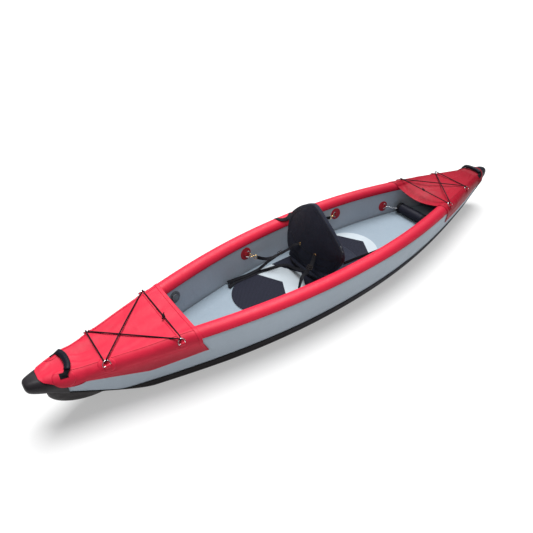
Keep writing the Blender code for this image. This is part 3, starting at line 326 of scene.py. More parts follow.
def transport(path, start, closed=False):
    """Normals carried along a path without twisting."""
    n = len(path)
    f = Vector(start)
    out = []
    for i in range(n):
        a = path[(i - 1) % n] if closed else path[max(i - 1, 0)]
        b = path[(i + 1) % n] if closed else path[min(i + 1, n - 1)]
        t = (b - a).normalized()
        f = (f - t * f.dot(t))
        f = f.normalized() if f.length > 1e-6 else t.orthogonal().normalized()
        out.append(f.copy())
    if closed:
        # spread the leftover twist
        a, b = path[-1], path[1 % n]
        t = (path[1] - path[-1]).normalized()
        last = out[-1] - t * out[-1].dot(t)
        twist = last.normalized().angle(out[0]) if last.length > 1e-6 else 0.0
        if last.cross(out[0]).dot(t) < 0:
            twist = -twist
        for i in range(n):
            t = (path[(i + 1) % n] - path[(i - 1) % n]).normalized()
            out[i] = Matrix.Rotation(twist * i / n, 3, t) @ out[i]
    return out


def tube(name, path, radius, mat, closed=False, sides=12, start=(0, 0, 1), scale=None):
    t = (path[1] - path[0]).normalized()
    s = Vector(start)
    if abs(s.dot(t)) > 0.95:
        s = Vector((0, 1, 0))
    return sweep(name, path, circle(radius, sides), mat, transport(path, s, closed), closed=closed, scale=scale)


def strip_of(name, points, n, width, thick, face_start, face_end, mat, mid=None):
    path = catmull(points, n)
    normals = []
    for i in range(n):
        t = i / (n - 1)
        f = Vector(face_start).lerp(Vector(face_end), t)
        if mid is not None:
            f = f + Vector(mid) * (1 - abs(2 * t - 1))
        normals.append(f)
    return sweep(name, path, flat_section(width, thick), mat, normals)


def join(name, obs):
    """One object from several that share a material list."""
    bms = bmesh.new()
    mats = []
    for o in obs:
        bpy.context.view_layer.update()
        dg = bpy.context.evaluated_depsgraph_get()
        me = bpy.data.meshes.new_from_object(o.evaluated_get(dg))
        me.transform(o.matrix_world)
        base = len(mats)
        idx = []
        for mt in o.data.materials:
            if mt not in mats:
                mats.append(mt)
            idx.append(mats.index(mt))
        for p in me.polygons:
            p.material_index = idx[min(p.material_index, len(idx) - 1)]
        bms.from_mesh(me)
        bpy.data.meshes.remove(me)
    me = bpy.data.meshes.new(name)
    bms.to_mesh(me)
    bms.free()
    for mt in mats:
        me.materials.append(mt)
    ob = bpy.data.objects.new(name, me)
    bpy.context.scene.collection.objects.link(ob)
    for o in obs:
        bpy.data.objects.remove(o)
    return ob


def piece(ob, body, slot=None, *nodes):
    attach(ob, body)
    if nodes:
        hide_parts(*nodes)
    return ob


# ================================================================ materials
class Mat:
    """A Principled material with helpers for procedural detail. Coordinates are metres."""

    def __init__(self, name, rough=0.5, **sockets):
        self.m = bpy.data.materials.new(name)
        self.m.use_nodes = True
        self.t = self.m.node_tree
        self.b = self.t.nodes["Principled BSDF"]
        self.b.inputs["Roughness"].default_value = rough
        for k, v in sockets.items():
            self.b.inputs[k.replace("_", " ")].default_value = v
        self.tc = self.t.nodes.new("ShaderNodeTexCoord")
        self.normal = None

    def node(self, kind, props=None, **inputs):
        n = self.t.nodes.new(kind)
        for k, v in (props or {}).items():
            setattr(n, k, v)
        for k, v in inputs.items():
            s = n.inputs[k.replace("_", " ")] if not k.startswith("i") or not k[1:].isdigit() else n.inputs[int(k[1:])]
            if hasattr(v, "is_output"):
                self.t.links.new(v, s)
            else:
                s.default_value = v
        return n

    def coords(self, space="Object", scale=(1, 1, 1), turn=(0, 0, 0)):
        n = self.node("ShaderNodeMapping", None)
        self.t.links.new(self.tc.outputs[space], n.inputs["Vector"])
        n.inputs["Scale"].default_value = scale
        n.inputs["Rotation"].default_value = turn
        return n.outputs["Vector"]

    def noise(self, scale, detail=3.0, rough=0.55, space="Object", stretch=(1, 1, 1), distortion=0.0):
        n = self.node("ShaderNodeTexNoise", None, Scale=scale, Detail=detail, Roughness=rough, Distortion=distortion,
                      Vector=self.coords(space, stretch))
        return n.outputs["Fac"]

    def waves(self, period, direction="X", space="UV", turn=0.0, distortion=0.0, profile="SIN"):
        n = self.node("ShaderNodeTexWave", {"wave_type": "BANDS", "bands_direction": direction, "wave_profile": profile},
                      Scale=0.31416 / period, Distortion=distortion, Vector=self.coords(space, (1, 1, 1), (0, 0, turn)))
        return n.outputs["Fac"]

    def voronoi(self, scale, space="Object", feature="F1"):
        n = self.node("ShaderNodeTexVoronoi", {"feature": feature}, Scale=scale, Vector=self.coords(space))
        return n.outputs["Distance"]

    def math(self, op, a, b=None, clamp=False):
        n = self.t.nodes.new("ShaderNodeMath")
        n.operation, n.use_clamp = op, clamp
        for s, v in zip(n.inputs, (a, b)):
            if v is None:
                continue
            if hasattr(v, "is_output"):
                self.t.links.new(v, s)
            else:
                s.default_value = v
        return n.outputs[0]

    def remap(self, v, a, b, c, d):
        n = self.t.nodes.new("ShaderNodeMapRange")
        self.t.links.new(v, n.inputs[0])
        for i, q in enumerate((a, b, c, d)):
            n.inputs[i + 1].default_value = q
        return n.outputs[0]

    def mix(self, fac, a, b):
        n = self.t.nodes.new("ShaderNodeMix")
        n.data_type = "RGBA"
        for s, v in ((n.inputs[0], fac), (n.inputs[6], a), (n.inputs[7], b)):
            if hasattr(v, "is_output"):
                self.t.links.new(v, s)
            else:
                s.default_value = (*v, 1.0) if isinstance(v, tuple) and len(v) == 3 else v
        return n.outputs[2]

    def color(self, v):
        if hasattr(v, "is_output"):
            self.t.links.new(v, self.b.inputs["Base Color"])
        else:
            self.b.inputs["Base Color"].default_value = (*v, 1.0)

    def rough(self, v):
        self.t.links.new(v, self.b.inputs["Roughness"])

    def bump(self, height, strength, distance):
        n = self.t.nodes.new("ShaderNodeBump")
        n.inputs["Strength"].default_value = strength
        n.inputs["Distance"].default_value = distance
        self.t.links.new(height, n.inputs["Height"])
        if self.normal is not None:
            self.t.links.new(self.normal, n.inputs["Normal"])
        self.normal = n.outputs["Normal"]
        self.t.links.new(self.normal, self.b.inputs["Normal"])

    def sep(self, axis, space="Object"):
        n = self.t.nodes.new("ShaderNodeSeparateXYZ")
        self.t.links.new(self.tc.outputs[space], n.inputs[0])
        return n.outputs[axis]


def shade(c, k):
    return tuple(min(1.0, q * k) for q in c)


def coated(name, base, rough=0.5, vary=0.10, weave=0.0013, creases=0.5, spec=0.45, toward_bow=None, low=1.0, span=(-0.9, 1.2)):
    """Reinforced coated fabric: a faint weave under the coating, slow colour drift, soft creases. toward_bow blends the
    colour along X over span, which on the red fabrics is painted shade, darker toward the bow; low below 1 is painted
    shade, darker below the gunwale's round at Z 0.215 to 0.285.
    """
    m = Mat(name, rough)
    m.b.inputs["Specular IOR Level"].default_value = spec
    slow = m.noise(2.2, 2.0, 0.5, stretch=(1, 2.2, 2.2))
    fine = m.noise(55.0, 4.0, 0.6)
    c = m.mix(m.remap(slow, 0.3, 0.7, 0.0, 1.0), shade(base, 1 - vary), shade(base, 1 + vary * 0.6))
    c = m.mix(m.remap(fine, 0.35, 0.75, 0.0, 0.16), c, shade(base, 0.72))
    # painted shade on the reds: the colour blends toward toward_bow along X over span, darker toward the bow
    if toward_bow:
        c = m.mix(m.remap(m.sep(0), span[0], span[1], 0.0, 1.0), c, toward_bow)
    # painted shade: below Z 0.285 the colour darkens to shade(base, low), fully so below Z 0.215
    if low < 1.0:
        c = m.mix(m.remap(m.sep(2), 0.215, 0.285, 1.0, 0.0), c, shade(base, low))
    m.color(c)
    m.rough(m.remap(m.noise(18.0, 3.0, 0.6), 0.3, 0.7, rough - 0.06, rough + 0.08))
    m.bump(m.noise(5.5, 3.0, 0.5, stretch=(1.6, 1.0, 0.6), distortion=0.4), creases, 0.006)
    m.bump(m.noise(30.0, 2.0, 0.5), 0.25, 0.0012)
    threads = m.math("ADD", m.waves(weave, "X"), m.waves(weave, "Y"))
    m.bump(threads, 0.22, 0.00025)
    return m.m


def fabric(name, base, period=0.0016, rough=0.85, sheen=0.25, fold=0.5):
    m = Mat(name, rough)
    m.b.inputs["Sheen Weight"].default_value = sheen
    m.b.inputs["Sheen Roughness"].default_value = 0.5
    m.b.inputs["Specular IOR Level"].default_value = 0.18
    slow = m.noise(6.0, 3.0, 0.5)
    threads = m.math("MULTIPLY", m.waves(period, "X"), m.waves(period, "Y"))
    c = m.mix(m.remap(slow, 0.3, 0.7, 0.0, 1.0), shade(base, 0.80), shade(base, 1.22))
    c = m.mix(m.remap(threads, 0.0, 1.0, 0.0, 0.45), shade(base, 0.55), c)
    m.color(c)
    m.rough(m.remap(m.noise(40.0, 3.0, 0.6), 0.3, 0.7, rough - 0.08, min(1.0, rough + 0.08)))
    m.bump(m.noise(9.0, 4.0, 0.55, distortion=0.6), fold, 0.008)
    m.bump(threads, 0.5, 0.0004)
    return m.m


def webbing(name, base):
    m = Mat(name, 0.62)
    m.b.inputs["Sheen Weight"].default_value = 0.02
    m.b.inputs["Specular IOR Level"].default_value = 0.08
    ribs = m.waves(0.0022, "X")
    cross = m.waves(0.0031, "Y")
    w = m.math("MULTIPLY", ribs, m.remap(cross, 0, 1, 0.55, 1.0))
    m.color(m.mix(m.remap(w, 0.0, 1.0, 0.0, 1.0), shade(base, 0.45), shade(base, 1.35)))
    m.rough(m.remap(m.noise(60.0, 2.0), 0.3, 0.7, 0.52, 0.72))
    m.bump(w, 0.6, 0.0006)
    return m.m


def moulded(name, base, rough=0.5, grain=900.0, spec=0.5, grain_bump=0.25):
    m = Mat(name, rough)
    m.b.inputs["Specular IOR Level"].default_value = spec
    slow = m.noise(7.0, 3.0, 0.5)
    m.color(m.mix(m.remap(slow, 0.3, 0.7, 0, 1), shade(base, 0.85), shade(base, 1.2)))
    m.rough(m.remap(m.noise(26.0, 4.0, 0.6), 0.3, 0.7, rough - 0.08, rough + 0.10))
    m.bump(m.noise(grain, 2.0, 0.5), grain_bump, 0.0003)
    m.bump(m.noise(14.0, 2.0, 0.5), 0.15, 0.002)
    return m.m


def foam(name, base, groove=None, spec=0.3):
    """Closed-cell foam sheet: pores, and fine crossed grooves on the deck pads, darkened with painted shade."""
    m = Mat(name, 0.78)
    m.b.inputs["Specular IOR Level"].default_value = spec
    pores = m.noise(420.0, 2.0, 0.6)
    slow = m.noise(5.0, 3.0, 0.5)
    c = m.mix(m.remap(slow, 0.3, 0.7, 0, 1), shade(base, 0.92), shade(base, 1.08))
    if groove:
        # painted shade: the grooves are coloured down to a fifth of the base and the lands between them are lifted
        g = m.math("MINIMUM", m.remap(m.waves(groove, "X", "Object", radians(31)), 0.0, 0.22, 0.0, 1.0),
                   m.remap(m.waves(groove, "X", "Object", radians(-31)), 0.0, 0.22, 0.0, 1.0))
        c = m.mix(m.math("SUBTRACT", 1.0, g, True), shade(base, 1.25), shade(base, 0.22))
        m.bump(g, 0.8, 0.0012)
    m.color(c)
    m.rough(m.remap(pores, 0.3, 0.7, 0.70, 0.88))
    m.bump(pores, 0.35, 0.0004)
    return m.m


def metal(name, base, rough, scratch=0.05):
    m = Mat(name, rough, Metallic=1.0)
    n = m.noise(160.0, 3.0, 0.6)
    m.color(m.mix(m.remap(m.noise(30.0, 2.0), 0.3, 0.7, 0, 1), shade(base, 0.82), base))
    m.rough(m.remap(n, 0.3, 0.7, max(0.05, rough - scratch), rough + scratch))
    m.bump(n, 0.1, 0.0001)
    return m.m


def braid(name, base):
    m = Mat(name, 0.6)
    m.b.inputs["Specular IOR Level"].default_value = 0.08
    a = m.waves(0.0040, "X", "UV", radians(38))
    b = m.waves(0.0040, "X", "UV", radians(-38))
    w = m.math("MAXIMUM", a, b)
    m.color(m.mix(m.remap(w, 0.3, 1.0, 0, 1), shade(base, 0.5), shade(base, 1.5)))
    m.bump(w, 0.6, 0.0006)
    m.rough(m.remap(m.noise(80.0, 2.0), 0.3, 0.7, 0.5, 0.7))
    return m.m


RED = (0.620, 0.0175, 0.049)
# painted shade: the bow deck's red is a darker copy of RED, for the light falling off toward the bow
RED_PAINTED_BOW_SHADE = (0.310, 0.0048, 0.019)
# painted shade: toward_bow darkens the rub strips toward the bow
M_RED = coated("red_coated_fabric", RED, 0.46, 0.07, spec=0.20, toward_bow=(0.385, 0.0072, 0.028))
# painted shade: low darkens the stern deck's apron below the gunwale's round
M_RED_DECK = coated("red_deck_coated_fabric", RED, 0.50, 0.10, creases=1.2, spec=0.18, low=0.64)
# painted shade: toward_bow darkens the bow deck further toward the tip, over span
M_RED_BOW = coated("red_deck_fabric_painted_bow_shade", RED_PAINTED_BOW_SHADE, 0.48, 0.12, creases=1.1, spec=0.12, toward_bow=(0.190, 0.0036, 0.0125), span=(1.25, 1.72))
M_RED_PATCH = coated("red_patch_fabric", (0.40, 0.013, 0.026), 0.5, 0.06, creases=0.2, spec=0.28)
# painted shade: toward_bow darkens the hem patches toward the bow
M_RED_HEM = coated("red_hem_fabric", (0.580, 0.021, 0.043), 0.5, 0.06, creases=0.2, spec=0.28, toward_bow=(0.420, 0.016, 0.036))
M_GREY = coated("grey_coated_fabric", (0.385, 0.448, 0.515), 0.55, 0.07, creases=0.85, spec=0.25)
M_FLOOR = coated("pale_floor_fabric", (0.190, 0.240, 0.288), 0.58, 0.04, creases=0.15, spec=0.3)
M_SKIN = coated("black_bottom_fabric", (0.0135, 0.0105, 0.0120), 0.6, 0.15, creases=0.35, spec=0.10, toward_bow=(0.022, 0.023, 0.034))
M_CAP = moulded("black_nose_rubber", (0.0200, 0.0175, 0.0205), 0.40, spec=0.18)
# painted shade: the bow nose's rubber is a darker, bluer copy of the stern nose's, for the light falling off toward the
# bow
M_CAP_BOW = moulded("black_bow_nose_rubber", (0.0095, 0.0100, 0.0150), 0.42, spec=0.12)
M_WHITE = foam("white_foam", (0.332, 0.376, 0.410))
M_PAD = foam("black_grooved_foam", (0.0104, 0.0118, 0.0228), 0.0085, spec=0.16)
M_SEAT = fabric("black_seat_nylon", (0.0195, 0.0240, 0.0440), 0.0017, 0.82, 0.02, 0.45)
M_TAG = fabric("grey_tag_tape", (0.110, 0.115, 0.130), 0.0009, 0.7, 0.05, 0.1)
M_PIPE = fabric("black_seat_piping", (0.008, 0.009, 0.018), 0.0012, 0.7, 0.1, 0.1)
M_WEB = webbing("black_webbing", (0.0065, 0.0068, 0.0100))
M_CORD = braid("black_braided_cord", (0.0070, 0.0070, 0.0100))
M_GRIP = moulded("black_grip_rubber", (0.0085, 0.0088, 0.0150), 0.42, 500.0, 0.08)
M_STEEL = metal("polished_steel", (0.62, 0.62, 0.64), 0.27)
M_BRASS = metal("polished_brass", (0.82, 0.56, 0.26), 0.22)
M_BUCKLE = metal("dark_bronze", (0.034, 0.029, 0.027), 0.45, 0.08)
M_VALVE = moulded("grey_valve_plastic", (0.155, 0.175, 0.195), 0.38, 700.0, 0.5, 0.1)
M_VALVE_DARK = moulded("dark_valve_plastic", (0.045, 0.048, 0.055), 0.4, 700.0, 0.5, 0.1)
M_FOOT = coated("black_tube_fabric", (0.0150, 0.0155, 0.0250), 0.42, 0.12, creases=0.3, spec=0.08)
M_THREAD = fabric("black_thread", (0.010, 0.010, 0.012), 0.0008, 0.8, 0.1, 0.05)
M_THREAD_RED = fabric("red_thread", (0.42, 0.012, 0.026), 0.0008, 0.8, 0.1, 0.05)
M_RAW = moulded("weld_grey", (0.20, 0.225, 0.25), 0.55, 300.0, 0.3, 0.2)


# ================================================================ side chambers
def spread(a, b, n, ends=0.35):
    """n stations from a to b, closer together at both ends."""
    return [a + (b - a) * (ends * (0.5 - 0.5 * cos(pi * i / (n - 1))) + (1 - ends) * i / (n - 1)) for i in range(n)]


HULL_XS = spread(STERN_CHAMBER_END, BOW_CHAMBER_END, 190, 0.5)
ROUND = [180.0 * k / 14 for k in range(15)]
for side, tag in ((1, "port"), (-1, "starboard")):
    rows = []
    for x in HULL_XS:
        g, b, out, down = wall_frame(x)
        r = chamber_r(x)
        top = [round_point(g, r, radians(a)) for a in ROUND]
        low = [round_point(b, r, pi + radians(a)) for a in ROUND]
        inner = [top[-1].lerp(low[0], f) for f in (0.2, 0.4, 0.6, 0.8)]
        outer = [low[-1].lerp(top[0], f) for f in (0.2, 0.4, 0.6, 0.8)]
        ring = top + inner + low + outer
        rows.append([v3(x, Vector((max(p.x, 0.0008), p.y)), side) for p in ring])
    piece(grid("panel_" + tag, rows, M_GREY, close_v=True, cap=True), "hull", "grey_panel", "side_chamber_" + tag)

    # red rub strip wrapped over the gunwale round
    rows = []
    for x in spread(-1.500, 1.480, 150, 0.2):
        g, b, out, down = wall_frame(x)
        r = chamber_r(x) + 0.0015
        rows.append([v3(x, round_point(g, r, radians(29.0 + 151.5 * k / 24)), side) for k in range(25)])
    ob = grid("rub_strip_" + tag, rows, M_RED, flip=(side < 0))
    thicken(ob, 0.0011, -1.0, 0.0003)
    piece(ob, "hull", "red_rub_strip", "gunwale_strip_" + tag)

# ================================================================ bottom skin
def keel_point(x, off):
    return Vector((keel_flat(x) + (off - SKIN - GAP) * 0.6, keel(x) + (SKIN + GAP - off)))


def tangent_angle(x, off):
    g, b, out, down = wall_frame(x)
    r = chamber_r(x) + off
    to_k = keel_point(x, off) - b
    if to_k.length <= r * 1.02:
        to_k = to_k.normalized() * r * 1.02
    a = atan2(to_k.y, to_k.x) + acos(r / to_k.length)
    start = atan2(out.y, out.x)
    while a > start:
        a -= 2 * pi
    return start - a


def skin_row(x, off, n=14):
    g, b, out, down = wall_frame(x)
    r = chamber_r(x) + off
    k = keel_point(x, off)
    leave = tangent_angle(x, off)
    z = black_line(x)
    under = asin(min(max((b.y - z) / r, 0.0), 0.95)) - LEAN
    first = 0.0
    if under < 0.0:
        top = on_wall_height(x, max(z, b.y - r * sin(LEAN) + 0.001), off)
    else:
        first = min(under, leave - radians(12.0))
        top = round_point(b, r, -first)
    pts = [top]
    if under < 0.0:
        pts += [top.lerp(round_point(b, r, 0.0), f) for f in (0.33, 0.66)]
    else:
        pts += [round_point(b, r, -(first + radians(0.4) * f)) for f in (1, 2)]
    for j in range(n + 1):
        a = first + radians(1.2) + (leave - first - radians(1.6)) * j / n
        if under < 0.0:
            a = leave * j / n
        pts.append(round_point(b, r, -a))
    last = pts[-1]
    pts += [last.lerp(k, f) for f in (0.33, 0.66)] + [k]
    pts += [Vector((k.x * f, k.y)) for f in (0.75, 0.5, 0.25, 0.0)]
    return pts


rows = []
for x in spread(STERN_KEEL_END + 0.0001, BOW_KEEL_END - 0.0001, 230, 0.9):
    half = skin_row(x, SKIN + GAP)
    rows.append([v3(x, p, 1) for p in half] + [v3(x, p, -1) for p in half[-2::-1]])
ob = grid("bottom_skin_shell", rows, M_SKIN, flip=True)
thicken(ob, 0.0016, -1.0, 0.0004)
piece(ob, "hull", "black_skin", "bottom_skin")

# ================================================================ floor chamber
FLOOR_STERN, FLOOR_BOW = -1.337, 1.300


def floor_half(x, z=FLOOR_TOP):
    return inner_wall_y(x, z) - 0.0048


rows = []
for x in spread(FLOOR_STERN, FLOOR_BOW, 90, 0.6):
    end = min(1.0, sqrt(max(0.0, min(x - FLOOR_STERN, FLOOR_BOW - x)) / 0.10))
    k = 0.30 + 0.70 * end
    half = []
    for a in range(0, 91, 10):
        dy, dz = -0.014 * (1 - sin(radians(a))), -0.015 * (1 - cos(radians(a)))
        z = FLOOR_TOP + dz
        half.append((max((floor_half(x, z) + dy) * k, 0.006), z))
    low = max(keel_flat(x) - 0.010, 0.004)
    side_y = floor_half(x, 0.060)
    lift = 0.0 if low > 0.02 else 0.004
    half.append((max((side_y - 0.006) * k, 0.005), 0.062))
    half.append((max(min(0.55 * side_y + 0.45 * low, side_y - 0.016) * k, 0.0045), 0.034))
    half.append((max(low * k, 0.004), FLOOR_BOTTOM + lift))
    top = [(half[0][0] * f, FLOOR_TOP) for f in (0.0, 0.2, 0.4, 0.6, 0.8)]
    low_run = [(half[-1][0] * f, FLOOR_BOTTOM + lift) for f in (0.5,)]
    ring = top + half + low_run + [(0.0, FLOOR_BOTTOM + lift)] + [(-y, z) for y, z in (top[1:] + half + low_run)[::-1]]
    rows.append([(x, y, z) for y, z in ring])
piece(grid("floor_panel", rows, M_FLOOR, close_v=True, cap=True), "hull", "floor_panel", "floor_chamber")


# ================================================================ decks
NOSE_STERN = ((0.0, 1.0), (0.16, 0.955), (0.42, 0.875), (0.68, 0.765), (0.86, 0.645), (0.95, 0.505), (1.0, 0.30))
NOSE_BOW = ((0.0, 1.0), (0.16, 0.94), (0.42, 0.83), (0.68, 0.67), (0.86, 0.52), (0.95, 0.39), (1.0, 0.20))


def nose(x, tip=None):
    start, tip = (STERN_KEEL_END, tip or STERN_TIP) if x < 0 else (BOW_KEEL_END, tip or BOW_TIP)
    f = min(max((x - start) / (tip - start), 0.0), 1.0)
    table = NOSE_STERN if x < 0 else NOSE_BOW
    k = float(np.interp(f, [a for a, _ in table], [b for _, b in table]))
    return k, (0.016 if x < 0 else 0.014) * f


def to_nose(x, p, tip=None):
    k, rise = nose(x, tip)
    end = STERN_CHAMBER_END if x < 0 else BOW_CHAMBER_END
    zc = (sheer(end) + low_centre(end)) / 2
    return Vector((p.x * k, zc + rise + (p.y - zc) * k))


def apron_low(x):
    u = x - X_MID
    if u < 0:
        z = 0.1800 + 0.27 * max(0.0, -u - 1.33) + 0.09 * max(0.0, 1.30 + u)
    else:
        z = 0.2065 + 0.30 * max(0.0, u - 1.42) ** 1.1
    return min(z, sheer(x) - 0.005)


DECKS = {
    "stern": dict(edge=STERN_DECK_EDGE, corner=-1.0313, mid=-1.8050, side=-1.6350, full=0.5, rim=STERN_CAP_RIM,
                  leave=radians(118), sag=0.006, run=0.30,
                  ends=(-1.610, -1.635, -1.662, -1.700, -1.738, -1.764, -1.796, -1.806, -1.808, -1.809, -1.810, -1.811, -1.811, -1.811, -1.811)),
    "bow": dict(edge=BOW_DECK_EDGE, corner=1.0160, mid=1.8560, side=1.7550, full=1.0, rim=BOW_CAP_RIM,
                leave=radians(150), sag=0.040, run=0.42,
                ends=(1.640, 1.640, 1.642, 1.650, 1.672, 1.728, 1.757, 1.768, 1.770, 1.771, 1.772, 1.773, 1.774, 1.775, 1.776)),
}
DECK_OFF = 0.0040


def smooth(t):
    t = min(1.0, max(0.0, t))
    return t * t * (3 - 2 * t)


def deck_point(end, j, t, off, side=1):
    """j runs 0 at the apron's lower edge to 14 on the centre line, t from the cockpit edge to the cap."""
    d = DECKS[end]
    sign = 1 if end == "bow" else -1
    e0 = d["edge"] + (d["corner"] - d["edge"]) * max(0.0, (3 - j) / 3)
    if end == "bow":
        e0 -= 0.030 * max(0, side) * min(1.0, max(0.0, (14 - j) / 11))
    e1 = float(np.interp(j, range(15), d["ends"]))
    x = e0 + (e1 - e0) * t
    lift = 0.0076 * smooth((sign * (x - d["rim"]) + 0.100) / 0.060)
    g, b, out, down = wall_frame(x)
    r = chamber_r(x) + off + lift
    near = max(0.0, 1 - abs(x - d["edge"]) / d["run"])
    leave = radians(96) + (d["leave"] - radians(96)) * near
    if j < 3:
        top = g + out * r
        low = on_wall_height(x, apron_low(x), off + lift)
        p = low.lerp(top, j / 3)
    elif j <= 7:
        p = round_point(g, r, radians(20.0 * (j - 3)))
    else:
        k = min(j - 7, 4)
        p = round_point(g, r, radians(80) + (leave - radians(80)) * k / 4)
        if j > 11:
            f = min((j - 11) / 3, 1.0)
            drop = d["sag"] * near ** 1.6
            mid = p.y - drop
            p = Vector((p.x * (1 - f), mid + (p.y - mid) * (1 - f) ** 1.7))
    return v3(x, to_nose(x, p), side)


CREASES = {
    "stern": ((-1.530, 0.100, -1.350, 0.000, 0.009, 0.0024), (-1.350, 0.000, -1.190, -0.170, 0.012, 0.0020), (-1.665, 0.060, -1.560, -0.010, 0.007, 0.0026),
              (-1.690, 0.015, -1.560, -0.060, 0.007, 0.0028), (-1.690, -0.035, -1.590, -0.095, 0.006, 0.0024), (-1.740, 0.030, -1.790, 0.000, 0.008, 0.0022),
              (-1.730, -0.030, -1.785, -0.050, 0.007, 0.0022), (-1.480, -0.110, -1.240, -0.120, 0.010, 0.0018), (-1.170, 0.190, -1.330, 0.060, 0.012, 0.0018),
              (-1.440, 0.060, -1.280, 0.110, 0.010, 0.0014), (-1.620, 0.100, -1.540, 0.070, 0.006, 0.0020)),
    "bow": ((1.100, 0.160, 1.300, 0.040, 0.012, 0.0030), (1.090, -0.150, 1.330, -0.060, 0.012, 0.0026), (1.300, 0.050, 1.520, 0.010, 0.009, 0.0020),
            (1.640, 0.050, 1.560, 0.000, 0.007, 0.0022), (1.650, -0.040, 1.540, -0.070, 0.007, 0.0022), (1.110, 0.030, 1.240, -0.040, 0.014, 0.0024)),
}


def crease(end, x, y):
    """Depth of the sharp creases that the fittings pull into the cloth."""
    d = 0.0
    for x0, y0, x1, y1, w, depth in CREASES[end]:
        run = sqrt((x1 - x0) ** 2 + (y1 - y0) ** 2)
        s = ((x - x0) * (x1 - x0) + (y - y0) * (y1 - y0)) / run ** 2
        if -0.1 < s < 1.1:
            off = ((x - x0) * (y1 - y0) - (y - y0) * (x1 - x0)) / run + 0.006 * sin(5.0 * s + x0 * 40)
            fade = sin(pi * min(1.0, max(0.0, s))) ** 0.6
            d += depth * fade * (exp(-(off / w) ** 2) - 0.75 * exp(-((off - 1.7 * w) / (1.1 * w)) ** 2))
    return d


def deck_folds(end, x, y, j, t):
    """How proud the cloth stands at a point: long soft folds, held flat where it is glued and at its edges."""
    d = DECKS[end]
    free = smooth((j - 3.5) / 3.0) * smooth(t / 0.05) * smooth((1 - t) / 0.10)
    wall = smooth(j / 0.8) * (1 - smooth((j - 3.5) / 3.0)) * smooth(t / 0.05) * smooth((1 - t) / 0.08)
    s = 11 if end == "stern" else 23
    a = float(vnoise(x * 5.0 + 3, y * 13.0 + 7, s)) * 0.0040 + float(vnoise(x * 12.0, y * 30.0, s + 1)) * 0.0015
    b = float(vnoise(x * 14.0, y * 4.0 + j, s + 2)) * 0.0010
    a -= crease(end, x, y)
    if a < 0:
        a *= 1 - 0.90 * (1 - smooth((j - 10.5) / 1.8))
    return free * a + wall * b


def deck_lies(end, j, t, off, side):
    """A point of the cloth as it lies, folds and all."""
    p = deck_point(end, j, t, off, side)
    q = deck_point(end, min(j + 0.12, 14.0), t, off, side) - deck_point(end, max(j - 0.12, 0.0), t, off, side)
    along = deck_point(end, j, min(t + 0.01, 1.0), off, side) - deck_point(end, j, max(t - 0.01, 0.0), off, side)
    nn = along.cross(q)
    nn = nn.normalized() if nn.length > 1e-9 else UP
    if nn.z < 0 and j > 3 or (j <= 3 and nn.y * side < 0):
        nn = -nn
    return p + nn * deck_folds(end, p.x, abs(p.y) * (1 if side > 0 else -1), j, t)


def deck_shell(end, mat):
    cols = [14.0 * k / 64 for k in range(65)]
    rows = []
    n = 84
    for i in range(n + 1):
        t = 0.35 * i / n + 0.65 * (0.5 - 0.5 * cos(pi * i / n))
        row = []
        for side in (1, -1):
            half = []
            for j in cols:
                half.append(deck_lies(end, j, t, DECK_OFF, side))
            row += half if side == 1 else half[-2::-1]
        rows.append(row)
    ob = grid("deck_" + end, rows, mat, flip=(end == "bow"))
    thicken(ob, 0.0013, -1.0, 0.0004)
    return ob


for end in ("stern", "bow"):
    ob = deck_shell(end, M_RED_DECK if end == "stern" else M_RED_BOW)
    piece(ob, "hull", "red_deck_fabric", end + "_deck")


def deck_ribbon(name, end, t0, t1, off, mat, j0=0.0, j1=14.0, n=120, rows_n=6, thick=0.0010):
    """A band that lies on the deck along its cockpit edge."""
    rows = []
    for i in range(rows_n + 1):
        t = t0 + (t1 - t0) * i / rows_n
        bulge = sqrt(max(0.0, 1 - (2 * i / rows_n - 1) ** 2)) * 0.0006
        row = []
        for side in (1, -1):
            half = [deck_lies(end, j0 + (j1 - j0) * k / n, t, off + bulge, side) for k in range(n + 1)]
            row += half if side == 1 else half[-2::-1]
        rows.append(row)
    ob = grid(name, rows, mat, flip=(end == "bow"))
    thicken(ob, thick, -1.0)
    return ob


for end in ("stern", "bow"):
    cloth = M_RED_DECK if end == "stern" else M_RED_BOW
    hem = deck_ribbon("deck_hem_" + end, end, -0.003, 0.026, DECK_OFF + 0.0013, cloth)
    # welded seam tapes: one across the stern deck behind its edge, one along each gunwale
    if end == "stern":
        tape = deck_ribbon("deck_tape_stern", end, 0.128, 0.145, DECK_OFF + 0.0012, cloth, j0=5.0, rows_n=4, thick=0.0008)
        piece(tape, "hull", "red_deck_fabric")
    for side, tag in ((1, "port"), (-1, "starboard")):
        rows = []
        for i in range(61):
            t = 0.02 + (0.90 if end == "stern" else 0.80) * i / 60
            rows.append([deck_lies(end, 8.1 + 0.10 * k, t, DECK_OFF + 0.0012 + (0.0006 if 0 < k < 6 else 0.0), side) for k in range(7)])
        tape = grid("deck_gunwale_tape_%s_%s" % (end, tag), rows, cloth, flip=((end == "bow") != (side < 0)))
        thicken(tape, 0.0008, -1.0)
        piece(tape, "hull", "red_deck_fabric")
    piece(hem, "hull", "red_deck_fabric")


